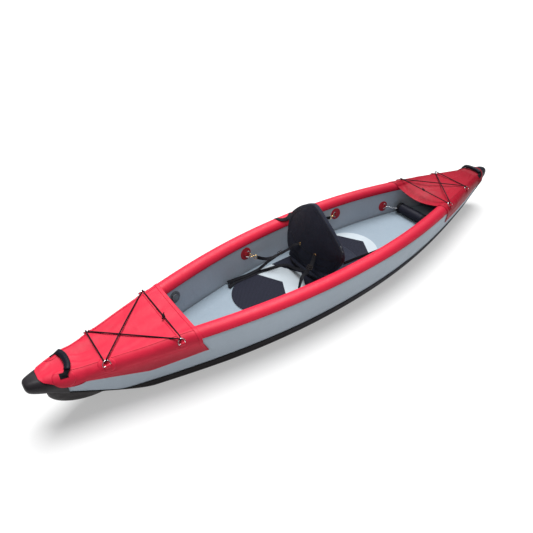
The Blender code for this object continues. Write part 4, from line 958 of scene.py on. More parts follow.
# ================================================================ nose cones
def cap_shell(end):
    sign = 1 if end == "bow" else -1
    rim, keel_end, tip = (BOW_CAP_RIM, BOW_KEEL_END, BOW_TIP) if sign > 0 else (STERN_CAP_RIM, STERN_KEEL_END, STERN_TIP)
    off0 = 0.0072
    xs = [rim + (keel_end - rim) * i / 16 for i in range(17)]
    rows = [(x, 0.0) for x in xs]
    for f in (0.02, 0.06, 0.12, 0.20, 0.30, 0.40, 0.50, 0.60, 0.70, 0.78, 0.85, 0.90, 0.94, 0.97, 0.99, 1.0):
        rows.append((keel_end + (tip - keel_end) * f, 1.0))
    grid_rows = []
    for x, shut in rows:
        bead = 0.0016 * exp(-((x - rim) / 0.006) ** 2)
        g, b, out, down = wall_frame(x)
        r = chamber_r(x) + off0 + bead - 0.0003
        lip = min(radians(35), tangent_angle(min(max(x, STERN_KEEL_END + .001), BOW_KEEL_END - .001), SKIN + GAP) - radians(5))
        lip += (radians(81) - lip) * shut
        low = round_point(b, r, -lip)
        first = Vector((0.0, low.y)) if shut else low + Vector((-0.0015, -0.0012))
        half = [first, first.lerp(low, 0.35), first.lerp(low, 0.7), low]
        half += [round_point(b, r, -lip * k) for k in (0.8, 0.6, 0.4, 0.2)]
        half += [round_point(b, r, 0.0).lerp(round_point(g, r, 0.0), f) for f in (0.0, 0.33, 0.67)]
        half += [round_point(g, r, radians(a)) for a in range(0, 96, 8)]
        half += [round_point(g, r, radians(99))]
        half += [Vector((half[-1].x * f, half[-1].y)) for f in (0.75, 0.5, 0.25, 0.0)]
        half = [to_nose(x, p, tip) for p in half]
        grid_rows.append([v3(x, p, 1) for p in half] + [v3(x, p, -1) for p in half[-2::-1]])
    # round the blunt tip off
    last = grid_rows[-1]
    c = sum((Vector(p) for p in last), Vector()) / len(last)
    for k in (0.6, 0.25, 0.02):
        grid_rows.append([c.lerp(Vector(p), k) + Vector((0, 0, 0)) for p in last])
    ob = grid("nose_cone_" + end, grid_rows, M_CAP_BOW if sign > 0 else M_CAP, flip=(sign > 0))
    s = ob.modifiers.new("thick", "SOLIDIFY")
    s.thickness, s.offset = 0.0024, -1.0
    sub = ob.modifiers.new("soft", "SUBSURF")
    sub.levels = sub.render_levels = 1
    return ob


for end in ("stern", "bow"):
    piece(cap_shell(end), "hull", "black_moulding", end + "_cap")

# ================================================================ floor pads
PAD_HALF, BASE_HALF = 0.186, 0.1945
REAR_OVAL, FRONT_OVAL = -0.4805, 0.2997


def rear_end(half, reach):
    return [(REAR_OVAL - reach * sin(radians(a)), half * cos(radians(a))) for a in range(0, 181, 4)]


def front_end(half, reach):
    return [(FRONT_OVAL + reach * sin(radians(a)), -half * cos(radians(a))) for a in range(0, 181, 4)]


def sheet_pad(name, outline, z0, z1, mat, edge=0.0012):
    n = len(outline)
    verts = [(x, y, z0) for x, y in outline] + [(x, y, z1) for x, y in outline]
    faces = [list(range(n))[::-1], list(range(n, 2 * n))] + [[i, (i + 1) % n, n + (i + 1) % n, n + i] for i in range(n)]
    uvs = []
    for f in faces:
        uvs += [(verts[k][0], verts[k][1] + verts[k][2]) for k in f]
    ob = put(name, verts, faces, mat, uvs, smooth=False, hint="closed")
    b = ob.modifiers.new("edge", "BEVEL")
    b.width, b.segments, b.limit_method, b.angle_limit = edge, 3, "ANGLE", radians(40)
    return ob


piece(sheet_pad("pad_base", rear_end(0.1870, 0.2002) + front_end(BASE_HALF, 0.1936), FLOOR_TOP + 0.0002, BASE_TOP, M_WHITE),
      "hull", "white_foam", "floor_pad_base")
piece(sheet_pad("pad_rear", rear_end(PAD_HALF, 0.1992) + [(-0.3179 - 0.55 * PAD_HALF, -PAD_HALF), (-0.3179, 0.0), (-0.3179 - 0.55 * PAD_HALF, PAD_HALF)],
                BASE_TOP + 0.0001, PAD_TOP, M_PAD), "hull", "black_foam", "floor_pad_rear")
piece(sheet_pad("pad_front", [(-0.1581 - 0.55 * PAD_HALF, PAD_HALF), (-0.1581, 0.0), (-0.1581 - 0.55 * PAD_HALF, -PAD_HALF),
                              (0.4332 - 0.60 * PAD_HALF, -PAD_HALF), (0.4332, 0.0), (0.4332 - 0.60 * PAD_HALF, PAD_HALF)],
                BASE_TOP + 0.0001, PAD_TOP, M_PAD), "hull", "black_foam", "floor_pad_front")

# ================================================================ seat cushion
SEAT_X0, SEAT_X1, SEAT_HALF, SEAT_TOP = -0.1510, 0.2450, 0.1880, 0.1720
HINGE = Vector((-0.1120, 0.0, 0.1790))


def cushion():
    cx, a = (SEAT_X0 + SEAT_X1) / 2, (SEAT_X1 - SEAT_X0) / 2
    n = 96
    rings = []
    z0, z1 = PAD_TOP + 0.0005, SEAT_TOP
    prof = []
    for k in range(9):          # lower round
        t = radians(90.0 * k / 8)
        prof.append((0.012 * (1 - sin(t)), z0 + 0.012 * (1 - cos(t))))
    prof += [(0.0, z0 + 0.017), (0.0, z1 - 0.015)]
    for k in range(1, 9):
        t = radians(90.0 * k / 8)
        prof.append((0.015 * (1 - cos(t)), z1 - 0.015 + 0.015 * sin(t)))
    for inset in (0.026, 0.040, 0.060, 0.085, 0.110, 0.135, 0.160, 0.178):
        prof.append((inset, z1))
    for inset, z in prof:
        ring = []
        for k in range(n):
            t = 2 * pi * k / n
            c, q = cos(t), sin(t)
            sx = abs(c) ** (2 / 4.5) * (1 if c > 0 else -1)
            sy = abs(q) ** (2 / 3.4) * (1 if q > 0 else -1)
            x, y = cx + max(a - inset, 0.004) * sx, max(SEAT_HALF - inset, 0.004) * sy
            zz = z
            if inset > 0.015 and z > SEAT_TOP - 0.001:
                # crown, sewn channels across and a dished middle
                ch = abs(sin(pi * (x - SEAT_X0) / 0.099))
                zz += 0.0055 * min(1.0, (inset - 0.015) / 0.06) * (ch ** 0.45) - 0.0045 * (1 - ch) ** 2 - 0.004
                zz -= 0.004 * exp(-(y / 0.11) ** 2)
            ring.append((x, y, zz))
        rings.append(ring)
    rings.append([(cx, 0.0, SEAT_TOP - 0.006)] * n)
    rings.insert(0, [(cx, 0.0, z0)] * n)
    return grid("seat_pad", rings, M_SEAT, close_v=True, weld=1e-6, closed=True)


ob = cushion()
piece(ob, "hull", "black_seat_fabric", "seat_cushion")
for k, z in enumerate((PAD_TOP + 0.0135, SEAT_TOP - 0.0125)):
    path = []
    for q in range(120):
        t = 2 * pi * q / 120
        c, s = cos(t), sin(t)
        path.append(Vector(((SEAT_X0 + SEAT_X1) / 2 + ((SEAT_X1 - SEAT_X0) / 2 + 0.0008) * abs(c) ** (2 / 4.5) * (1 if c > 0 else -1),
                            (SEAT_HALF + 0.0008) * abs(s) ** (2 / 3.4) * (1 if s > 0 else -1), z)))
    piece(tube("seat_piping_%d" % k, path, 0.0024, M_PIPE, closed=True, sides=8), "hull", "black_seat_fabric")

# ================================================================ backrest
BACK_OUTLINE = [(0.0, 0.1850), (0.040, 0.1853), (0.080, 0.1860), (0.140, 0.1885), (0.177, 0.199), (0.198, 0.215), (0.216, 0.240), (0.234, 0.270),
                (0.252, 0.305), (0.2690, 0.350), (0.2725, 0.392), (0.2590, 0.428), (0.2340, 0.461), (0.2000, 0.496),
                (0.1600, 0.534), (0.1110, 0.571), (0.0560, 0.6085), (0.0, 0.630)]
BACK_C = (0.0, 0.395)


def twist(y, z):
    return y * (-0.060 + 0.145 * min(1.0, max(0.0, (z - 0.24) / 0.16)))


def back_rear(y, z):
    return -0.1294 + 0.09 * (z - 0.2585) + 0.920 * y * y * (1 - 0.25 * min(1.0, abs(y) / 0.27)) + twist(y, z)


def back_outline(n):
    half = [Vector((y, z, 0)) for y, z in BACK_OUTLINE]
    full = half + [Vector((-p.x, p.y, 0)) for p in half[-2:0:-1]]
    pts = [full[-1]] + full + [full[0], full[1]]
    fine = []
    for i in range(1, len(pts) - 2):
        for k in range(8):
            t = k / 8
            a, b, c, d = pts[i - 1], pts[i], pts[i + 1], pts[i + 2]
            fine.append(0.5 * ((2 * b) + (c - a) * t + (2 * a - 5 * b + 4 * c - d) * t * t + (3 * b - a - 3 * c + d) * t ** 3))
    fine.append(fine[0].copy())
    run = np.concatenate([[0], np.cumsum([(b - a).length for a, b in zip(fine, fine[1:])])])
    ys, zs = np.array([p.x for p in fine]), np.array([p.y for p in fine])
    s = np.linspace(0, run[-1], n, endpoint=False)
    return list(zip(np.interp(s, run, ys), np.interp(s, run, zs)))


BACK_RING = back_outline(140)


def back_point(scale, ring_k, depth):
    y, z = BACK_RING[ring_k % len(BACK_RING)]
    yy, zz = y * scale, BACK_C[1] + (z - BACK_C[1]) * scale
    return Vector((back_rear(yy, zz) + depth, yy, zz))


def back_relief(y, z, rear):
    """Soft relief of the two faces: the panel edge, the cross seams and loose wrinkles."""
    d = 0.0
    for zs in ((0.296,) if rear else (0.262, 0.345, 0.430)):
        zc = zs + (0.05 * y * y / 0.07 if rear else 0.0)
        d -= 0.0028 * exp(-((z - zc) / 0.0065) ** 2)
    d += 0.0026 * float(vnoise(y * 9 + 5, z * 7 + 3, 41 if rear else 43)) + 0.0012 * float(vnoise(y * 22, z * 16, 44))
    return d


rings = []
plan = [(0.0, 0.0015, -1), (0.10, 0.0015, -1), (0.22, 0.0012, -1), (0.34, 0.0010, -1), (0.46, 0.0008, -1), (0.58, 0.0005, -1), (0.68, 0.0003, -1),
        (0.77, 0.0002, -1), (0.84, 0.0000, -1), (0.885, 0.0008, -1), (0.905, 0.0022, -1), (0.925, 0.0006, -1), (0.955, 0.0012, -1), (0.978, 0.0034, 0),
        (0.992, 0.0068, 0), (0.9985, 0.0115, 0), (1.0, 0.0165, 0), (0.9985, 0.0215, 0), (0.992, 0.0265, 0), (0.978, 0.0310, 0), (0.955, 0.0345, 1),
        (0.92, 0.0372, 1), (0.87, 0.0395, 1), (0.78, 0.0415, 1), (0.68, 0.0425, 1), (0.58, 0.0432, 1), (0.46, 0.0436, 1), (0.34, 0.0438, 1),
        (0.22, 0.0440, 1), (0.10, 0.0440, 1), (0.0, 0.0440, 1)]
for scale, depth, face in plan:
    ring = []
    for k in range(len(BACK_RING)):
        p = back_point(scale, k, depth)
        if face:
            e = min(1.0, (1 - scale) / 0.12)
            p.x += (-face) * -1 * 0 + (face * 1.0) * back_relief(p.y, p.z, face < 0) * e
        ring.append(p)
    rings.append(ring)
ob = grid("seat_back", rings, M_SEAT, close_v=True, weld=1e-6, closed=True)
piece(ob, "backrest", "black_seat_fabric", "backrest")

# piping round the edge and the panel seam on both faces
for nm, scale, depth, r in (("edge_rear", 0.984, 0.0040, 0.0026), ("edge_front", 0.972, 0.0292, 0.0018), ("panel_rear", 0.896, -0.0002, 0.0014)):
    path = [back_point(scale, k, depth) for k in range(len(BACK_RING))]
    piece(tube("seat_back_piping_" + nm, path, r, M_PIPE, closed=True, sides=8), "backrest", "black_seat_fabric")
# sewn seam lines across the rear face
for nm, zs, half_w in (("upper", 0.296, 0.205), ("lower", 0.236, 0.170)):
    path = []
    for k in range(61):
        y = -half_w + 2 * half_w * k / 60
        z = zs + 0.05 * y * y / 0.07
        path.append(Vector((back_rear(y, z) - 0.0002, y, z)))
    piece(tube("seat_back_seam_" + nm, path, 0.0011, M_THREAD, sides=6), "backrest", "black_seat_fabric")

# a small plain tag sewn into the side seam
rows = []
for d in (0.0095, 0.0120, 0.0145, 0.0170):
    p0, p1 = back_point(1.0, 97, d), back_point(1.0, 101, d)
    run = p1 - p0
    face = Vector((1.0, 0.0, 0.0)).cross(run).normalized()
    if face.y > 0:
        face = -face
    rows.append([p0.lerp(p1, i / 6) + face * 0.0006 for i in range(7)])
ob = grid("seat_back_tag", rows, M_TAG)
thicken(ob, 0.0008, 0.0)
piece(ob, "backrest", "black_seat_fabric")

# fabric hinge panel between the cushion and the backrest
rows = []
for i in range(13):
    t = i / 12
    row = []
    for k in range(41):
        y = -0.165 + 0.33 * k / 40
        x0, z0 = -0.128 + 0.10 * y * y, 0.166
        x1, z1 = back_rear(y, 0.200) + 0.006, 0.203 + 0.0 * y
        x = x0 + (x1 - x0) * t - 0.006 * sin(pi * t)
        row.append((x, y, z0 + (z1 - z0) * t))
    rows.append(row)
ob = grid("seat_hinge_panel", rows, M_SEAT)
thicken(ob, 0.0028, 0.0)
applied(ob)
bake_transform(ob)


# ================================================================ rings, patches and tabs
def ring_path(bar, pull, lay):
    side = pull.cross(lay).normalized()
    pts = [bar + side * RING_HALF_W * 0.80, bar + side * (RING_HALF_W * 0.97) + pull * 0.0008, bar + side * RING_HALF_W + pull * 0.0035]
    for k in range(1, 24):
        a = pi * k / 24
        pts.append(bar + side * RING_HALF_W * cos(a) + pull * (0.0060 + (RING_DEPTH - 0.0060) * sin(a) ** 0.9))
    pts += [bar - side * RING_HALF_W + pull * 0.0035, bar - side * (RING_HALF_W * 0.97) + pull * 0.0008, bar - side * RING_HALF_W * 0.80]
    pts += [bar - side * RING_HALF_W * f for f in (0.4, 0.0, -0.4)]
    return pts


def surface_disc(name, surf, radius, mat, body="hull", thick=0.0009, rings_n=7, n=56, slot="red_deck_fabric"):
    """A round patch welded onto a surface. surf(u, v, off) gives its points."""
    rows = []
    for i in range(rings_n + 1):
        rr = radius * i / rings_n
        off = 0.0 if i < rings_n else -thick * 0.75
        rows.append([surf(rr * cos(2 * pi * k / n), rr * sin(2 * pi * k / n), off) for k in range(n)])
    rows.append([surf(radius * 1.0 * cos(2 * pi * k / n), radius * 1.0 * sin(2 * pi * k / n), -thick) for k in range(n)])
    rows.append([surf(radius * 0.5 * cos(2 * pi * k / n), radius * 0.5 * sin(2 * pi * k / n), -thick) for k in range(n)])
    rows.append([surf(0, 0, -thick)] * n)
    ob = grid(name, rows, mat, close_v=True, weld=1e-6, closed=True)
    return piece(ob, body, slot)


def tab(name, surf, width, mat, slot, length=0.030):
    """Webbing that holds a ring's bar: sewn to the patch, over the bar and back under. surf(u, v, off): u away from the ring."""
    prof = [(length, 0.0016), (length * 0.75, 0.0020), (length * 0.5, 0.0030), (0.009, 0.0062), (0.004, 0.0080), (-0.0005, 0.0088), (-0.0038, 0.0070),
            (-0.0044, 0.0046), (-0.0030, 0.0024), (0.002, 0.0012), (0.010, 0.0008)]
    fine = catmull([Vector((u, h, 0)) for u, h in prof], 40)
    rows = []
    for i, q in enumerate(fine):
        a, b = fine[max(i - 1, 0)], fine[min(i + 1, 39)]
        tx, ty = (b - a).normalized().x, (b - a).normalized().y
        ring = []
        for s, h in flat_section(width, 0.0014):
            ring.append(surf(q.x - ty * h, s, q.y + tx * h))
        rows.append(ring)
    ob = grid(name, rows, mat, close_v=True, cap=True)
    return piece(ob, "hull", slot)


def wall_surf(x0, z0, side, ux, uz):
    """Surface coordinates on a side wall's inner face: u along (ux, uz), v across it."""
    def at(u, v, off):
        x, z = x0 + ux * u - uz * v, z0 + uz * u + ux * v
        p, n = inner_wall(x, z, side)
        return p + n * off
    return at


WALL_RINGS = {"rear": (-0.4203, 0.2500, Vector((0.060, -0.055, -0.028))),
              "front": (0.3871, 0.2529, Vector((-0.075, -0.018, 0.004))),
              "foot": (0.8449, 0.1900, Vector((0.060, -0.022, -0.008)))}
RING_END = {}
for word, (x, z, pull) in WALL_RINGS.items():
    for side, tag in ((1, "port"), (-1, "starboard")):
        wall, n = inner_wall(x, z, side, 0.0045)
        d = Vector((pull.x, pull.y * side, pull.z)).normalized()
        across = n.cross(d).normalized()
        lay = across.cross(d).normalized()
        nm = "wall_ring_" + word + "_" + tag
        ob = tube("ring_" + word + "_" + tag, ring_path(wall, d, lay), RING_WIRE, M_STEEL, closed=True, sides=10, start=lay)
        piece(ob, "hull", "steel_wire", nm)
        RING_END[word, side] = (wall + d * RING_DEPTH, d, lay)
        flat = Vector((d.x, d.z))
        flat.normalize()
        surf = wall_surf(x, z, side, -flat.x, -flat.y)
        # the patch is centred a little behind the bar
        surface_disc("patch_" + word + "_" + tag, lambda u, v, off, s=surf: s(u + 0.004, v, off + 0.0013), 0.0425 if word != "foot" else 0.040,
                     M_RED_PATCH, slot="red_rub_strip")
        tab("tab_" + word + "_" + tag, lambda u, v, off, s=surf: s(u, v, off + 0.0004), 0.026, M_RED_PATCH, "red_rub_strip", 0.026)


def deck_shape(x):
    end = "stern" if x < 0 else "bow"
    d = DECKS[end]
    sign = 1 if x > 0 else -1
    lift = 0.0076 * smooth((sign * (x - d["rim"]) + 0.100) / 0.060)
    g, b, out, down = wall_frame(x)
    near = max(0.0, 1 - abs(x - d["edge"]) / d["run"])
    leave = radians(96) + (d["leave"] - radians(96)) * near
    return g, chamber_r(x) + DECK_OFF + lift, leave, d["sag"] * near ** 1.6


def deck_height(x, y):
    g, r, leave, drop = deck_shape(x)
    p = round_point(g, r, leave)
    y = abs(y)
    if y >= p.x:
        return g.y + sqrt(max(0.0, r * r - (y - g.x) ** 2))
    mid = p.y - drop
    return mid + (p.y - mid) * (y / p.x) ** 1.7


def deck_surf(x0, a0, side):
    """Surface coordinates round the deck's gunwale: u down its outer side, v along the hull."""
    def at(u, v, off):
        x = x0 + v
        g, r, leave, drop = deck_shape(x)
        s = a0 - u / r
        if s < 0.0:
            p = round_point(g, r + off, 0.0) + DOWN * (-s * r)
        elif s > leave:
            p = round_point(g, r + off, leave)
            tan_dir = Vector((-(OUT * sin(leave) + DOWN * cos(leave)).x, 0)) if False else (OUT * -sin(leave) - DOWN * cos(leave))
            p = p + tan_dir * ((s - leave) * r)
        else:
            p = round_point(g, r + off, s)
        return v3(x, p, side)
    return at


DECK_RINGS = {"stern": ((-1.5201, 0.1250), (-1.1648, 0.2237)), "bow": ((1.0560, 0.2300), (1.3880, 0.1480))}


def deck_ring(end, place, x, y_abs, side, tag):
    g, r, leave, drop = deck_shape(x)
    alpha = acos(min(1.0, (y_abs - g.x) / r))
    n = Vector((0.0, side * cos(alpha), sin(alpha)))
    t = Vector((0.0, -side * sin(alpha), cos(alpha)))
    centre = Vector((x, side * (g.x + cos(alpha) * r), g.y + sin(alpha) * r))
    tilt = radians(10.0)
    pull = t * cos(tilt) + n * sin(tilt)
    lay = n * cos(tilt) - t * sin(tilt)
    bar = centre - t * 0.013 + n * 0.0050
    node = end + "_deck_ring_" + place + "_" + tag
    piece(tube("deck_ring_%s_%s_%s" % (end, place, tag), ring_path(bar, pull, lay), RING_WIRE, M_STEEL, closed=True, sides=10, start=lay),
          "hull", "steel_wire", node)
    # where the bar sits round the gunwale
    bar_angle = alpha - 0.013 / r + LEAN
    surf = deck_surf(x, bar_angle, side)
    surface_disc("deck_patch_%s_%s_%s" % (end, place, tag), lambda u, v, off: surf(u - 0.004, v, off + 0.0014), 0.041, M_RED_DECK if end == "stern" else M_RED_BOW)
    tab("deck_tab_%s_%s_%s" % (end, place, tag), lambda u, v, off: surf(u, v, off + 0.0008), 0.028, M_RED_DECK if end == "stern" else M_RED_BOW, "red_deck_fabric", 0.024)
    return bar + pull * RING_DEPTH, pull, lay, n


def bungee(name, corners, node, knot_run=None):
    path = []
    count = len(corners)
    knot = None
    for i in range(count):
        apex, pull, lay, n = corners[i]
        nxt = corners[(i + 1) % count][0]
        prev = corners[i - 1][0]
        side = pull.cross(lay).normalized()
        come = side if (prev - apex).dot(side) > 0 else -side
        go = side if (nxt - apex).dot(side) > 0 else -side
        if (come - go).length < 0.1:
            a, b = (prev - apex).normalized(), (nxt - apex).normalized()
            come, go = (side, -side) if a.dot(side) > b.dot(side) else (-side, side)
        up = RING_WIRE + CORD_R + 0.0008
        path.append(apex + come * 0.0055 + lay * up + pull * 0.0030)
        path.append(apex + come * 0.0040 + lay * (up * 0.75) - pull * 0.0040)
        path.append(apex - pull * (up + 0.0012))
        path.append(apex + go * 0.0040 - lay * (up * 0.75) - pull * 0.0040)
        path.append(apex + go * 0.0055 - lay * up + pull * 0.0030)
        a = path[-1]
        b_apex, b_pull, b_lay, b_n = corners[(i + 1) % count]
        b_side = b_pull.cross(b_lay).normalized()
        b_come = b_side if (apex - b_apex).dot(b_side) > 0 else -b_side
        nn = corners[(i + 2) % count][0]
        if abs((apex - b_apex).normalized().dot(b_side) - (nn - b_apex).normalized().dot(b_side)) > 1e-9:
            b_come = b_side if (apex - b_apex).normalized().dot(b_side) > (nn - b_apex).normalized().dot(b_side) else -b_side
        b = b_apex + b_come * 0.0055 + b_lay * up + b_pull * 0.0030
        m = 40
        prof = []
        for k in range(m + 1):
            q = a.lerp(b, k / m)
            h = deck_height(q.x, q.y) + CORD_R + 0.0030
            if k in (0, m):
                h = q.z
            elif k < 3 or k > m - 3:
                h = max(q.z, h)
            prof.append((k / m, h + (0.0065 if i == 2 and 17 < k < 23 else 0.0)))
        hull = []
        for q in prof:
            while len(hull) > 1 and (hull[-1][0] - hull[-2][0]) * (q[1] - hull[-2][1]) - (hull[-1][1] - hull[-2][1]) * (q[0] - hull[-2][0]) >= 0:
                hull.pop()
            hull.append(q)
        us, hs = [u for u, _ in hull], [h for _, h in hull]
        for k in range(1, 24):
            u = k / 24
            q = a.lerp(b, u)
            path.append(Vector((q.x, q.y, float(np.interp(u, us, hs)))))
            if knot_run == i and k == (10 if apex.x < 0 else 12):
                knot = path[-1].copy(), (b - a).normalized()
    clean = [path[0]]
    for q in path[1:]:
        if (q - clean[-1]).length > 0.0022:
            clean.append(q)
    ob = tube(name, clean, CORD_LOOK, M_CORD, closed=True, sides=10)
    piece(ob, "hull", "black_cord", node)
    return knot


for end, (aft, fore) in DECK_RINGS.items():
    made = {}
    for place, (x, y) in (("rear", aft), ("front", fore)):
        for side, tag in ((1, "port"), (-1, "starboard")):
            made[place, side] = deck_ring(end, place, x, y, side, tag)
    knot = bungee("deck_cord_" + end, [made["rear", 1], made["front", -1], made["front", 1], made["rear", -1]], end + "_bungee", 1 if end == "stern" else 3)
    if knot:
        c, d = knot
        # an overhand knot pulled tight, with two short tails
        f = (UP - d * UP.dot(d)).normalized()
        g2 = d.cross(f)
        path = []
        for k in range(60):
            q = 2 * pi * k / 60
            path.append(c + d * (0.00265 * (sin(q) + 2 * sin(2 * q))) + g2 * (0.0023 * (cos(q) - 2 * cos(2 * q))) + f * (0.0030 - 0.0030 * sin(3 * q)))
        turns = tube("knot_turns", path, CORD_LOOK * 0.92, M_CORD, closed=True, sides=10)
        tails = []
        for sgn, bend in ((1, 0.6), (-1, -0.9)):
            run = [c + d * (sgn * 0.004) + f * 0.003, c + d * (sgn * 0.009) + g2 * (bend * 0.006) + f * 0.0055,
                   c + d * (sgn * 0.014) + g2 * (bend * 0.013) + f * 0.0062, c + d * (sgn * 0.017) + g2 * (bend * 0.019) + f * 0.0050]
            tails.append(tube("knot_tail", catmull(run, 16), CORD_LOOK * 0.92, M_CORD, sides=10))
        piece(join("deck_cord_knot_" + end, [turns] + tails), "hull", "black_cord")

# ================================================================ seat straps, hooks and buckles
REAR_STRAPS = {
    1: dict(start=(-0.1232, 0.0752, 0.3093), over=[(-0.1553, 0.094, 0.3027), (-0.1853, 0.1128, 0.2698)],
            lock=(-0.2323, 0.141, 0.2359),
            tail=[(-0.265, 0.157, 0.2130), (-0.316, 0.1739, 0.1800), (-0.362, 0.180, 0.1530), (-0.4015, 0.1833, 0.1436),
                  (-0.4767, 0.1852, 0.1425), (-0.5444, 0.1936, 0.1425), (-0.613, 0.1993, 0.1425)],
            hook=[(-0.2831, 0.1530, 0.2230), (-0.3250, 0.1720, 0.2180)]),
    -1: dict(start=(-0.1238, -0.0752, 0.3093), over=[(-0.1506, -0.094, 0.2942)],
             lock=(-0.2041, -0.1222, 0.2707),
             tail=[(-0.2090, -0.0900, 0.2330), (-0.1960, -0.047, 0.2021), (-0.1919, 0.0, 0.1800), (-0.1891, 0.0564, 0.1551),
                   (-0.1919, 0.110, 0.1410), (-0.2286, 0.141, 0.1382), (-0.2634, 0.1476, 0.1382), (-0.3141, 0.1551, 0.1382),
                   (-0.3611, 0.1654, 0.1382), (-0.4025, 0.1700, 0.1382), (-0.4692, 0.1700, 0.1382), (-0.5369, 0.1740, 0.1382),
                   (-0.5848, 0.1720, 0.1382), (-0.6281, 0.1598, 0.1382)],
             hook=[(-0.2427, -0.1370, 0.2640), (-0.2991, -0.1598, 0.2700)]),
}


def snap_hook(name, apex, pull, lay, node, length=0.052):
    """A brass snap hook: a bent hook round the ring, a swivel barrel and the webbing's eye."""
    a0 = apex - pull * 0.0075
    flat = pull.cross(lay).normalized()
    pts = []
    for s, w in ((0.0, 0.0035), (0.0015, 0.0062), (0.0060, 0.0078), (0.016, 0.0072), (0.027, 0.0040), (0.033, 0.0037),
                 (0.037, 0.0085), (0.044, 0.0125), (0.050, 0.0125), (length, 0.0085)):
        pts.append(a0 + pull * s + flat * w)
    pts += [a0 + pull * pull.dot(p - a0) - flat * flat.dot(p - a0) for p in pts[::-1]]
    cyc = pts + pts[:3]
    fine = catmull(cyc, 130)[:]
    # drop the doubled part
    fine = fine[10:-10]
    fine = [q for i, q in enumerate(fine) if i == 0 or (q - fine[i - 1]).length > 1e-5]
    body = tube(name + "_bow", catmull(pts + [pts[0]], 110)[:-1], 0.0022, M_BRASS, closed=True, sides=8, start=lay)
    barrel = tube(name + "_barrel", [a0 + pull * s for s in (0.024, 0.0245, 0.027, 0.031, 0.0345, 0.035)], 0.0052, M_BRASS, sides=14, start=lay,
                  scale=[0.6, 0.95, 1.05, 1.05, 0.95, 0.6])
    ob = join(name, [body, barrel])
    ob.data.shade_smooth()
    piece(ob, "hull", "brass_hook", node)
    return a0 + pull * length


def buckle(name, centre, run, face, node):
    side = run.cross(face).normalized()
    face = side.cross(run).normalized()
    m = Matrix((run, side, face)).transposed().to_4x4()
    m.translation = centre
    bars = []

    def frame_tube(nm, pts, r, closed):
        return tube(nm, [m @ Vector(p) for p in pts], r, M_BUCKLE, closed=closed, sides=8, start=face)
    outline = []
    for cx, cy, a0 in ((0.0115, 0.0145, 0), (-0.0115, 0.0145, 90), (-0.0115, -0.0145, 180), (0.0115, -0.0145, 270)):
        for a in (0, 30, 60, 90):
            outline.append((cx + 0.0024 * cos(radians(a0 + a)), cy + 0.0024 * sin(radians(a0 + a)), 0.0))
    bars.append(frame_tube(name + "_frame", outline, 0.0019, True))
    bars.append(frame_tube(name + "_bar", [(0.0, -0.0165, 0.0), (0.0, -0.008, 0.0004), (0.0, 0.008, 0.0004), (0.0, 0.0165, 0.0)], 0.0021, False))
    ob = join(name, bars)
    ob.data.shade_smooth()
    return piece(ob, "hull", "brass_buckle", node)


for side, tag in ((1, "port"), (-1, "starboard")):
    spec = REAR_STRAPS[side]
    lock = Vector(spec["lock"])
    run = (lock - Vector(spec["over"][-1])).normalized()
    pts = [spec["start"]] + spec["over"] + [lock] + spec["tail"]
    ob = strip_of("strap_rear_" + tag, pts, 150, 0.025, WEB_T, (-0.2, 0, 1), (0, 0, 1), M_WEB)
    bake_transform(ob)
    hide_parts("seat_strap_rear_" + tag)
    face = (UP - run * UP.dot(run)).normalized()
    buckle("ladder_lock_" + tag, lock + face * 0.0072 - run * 0.003, run, UP, "strap_buckle_" + tag)
    apex, d, lay = RING_END["rear", side]
    eye = snap_hook("hook_rear_" + tag, apex, d, lay, "snap_hook_rear_" + tag)
    first = lock + run * 0.0180 + face * 0.0036
    ob = strip_of("hook_web_" + tag, [first] + spec["hook"] + [eye + d * 0.0035], 50, 0.022, WEB_T, (-0.53, -0.55, 0.64) if side < 0 else (0, 0, 1), -lay, M_WEB, mid=(-0.4, -0.4, 0.4) if side < 0 else None)
    piece(ob, "hull", "black_webbing", "hook_webbing_rear_" + tag)
    # brass eyelet on the backrest
    s0 = Vector(spec["start"])
    nrm = Vector((back_rear(s0.y + .002, s0.z) - back_rear(s0.y - .002, s0.z), 0.004, 0)).normalized()
    nrm = Vector((-1.0, 0.0, 0.0)) + Vector((0, (back_rear(s0.y + .002, s0.z) - back_rear(s0.y - .002, s0.z)) / 0.004, 0.09))
    nrm.normalize()
    c = Vector((back_rear(s0.y, s0.z), s0.y, s0.z)) + nrm * 0.0012
    f = nrm.orthogonal().normalized()
    g2 = nrm.cross(f)
    ring = [c + (f * cos(2 * pi * k / 32) + g2 * sin(2 * pi * k / 32)) * 0.0078 for k in range(32)]
    piece(tube("eyelet_" + tag, ring, 0.0024, M_BRASS, closed=True, sides=8, start=nrm), "backrest", "brass_hook")

    apex, d, lay = RING_END["front", side]
    eye = snap_hook("hook_front_" + tag, apex, d, lay, "snap_hook_front_" + tag)
    ob = strip_of("strap_front_" + tag, [(-0.0425 + side * 0.0032, side * 0.2555, 0.3200), (0.060, side * 0.2555, 0.3080), (0.180, side * 0.2520, 0.2860), eye + d * 0.0035],
                  70, 0.025, WEB_T, (0, 1, 0), (0, 1, 0), M_WEB)
    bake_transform(ob)
    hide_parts("seat_strap_front_" + tag)

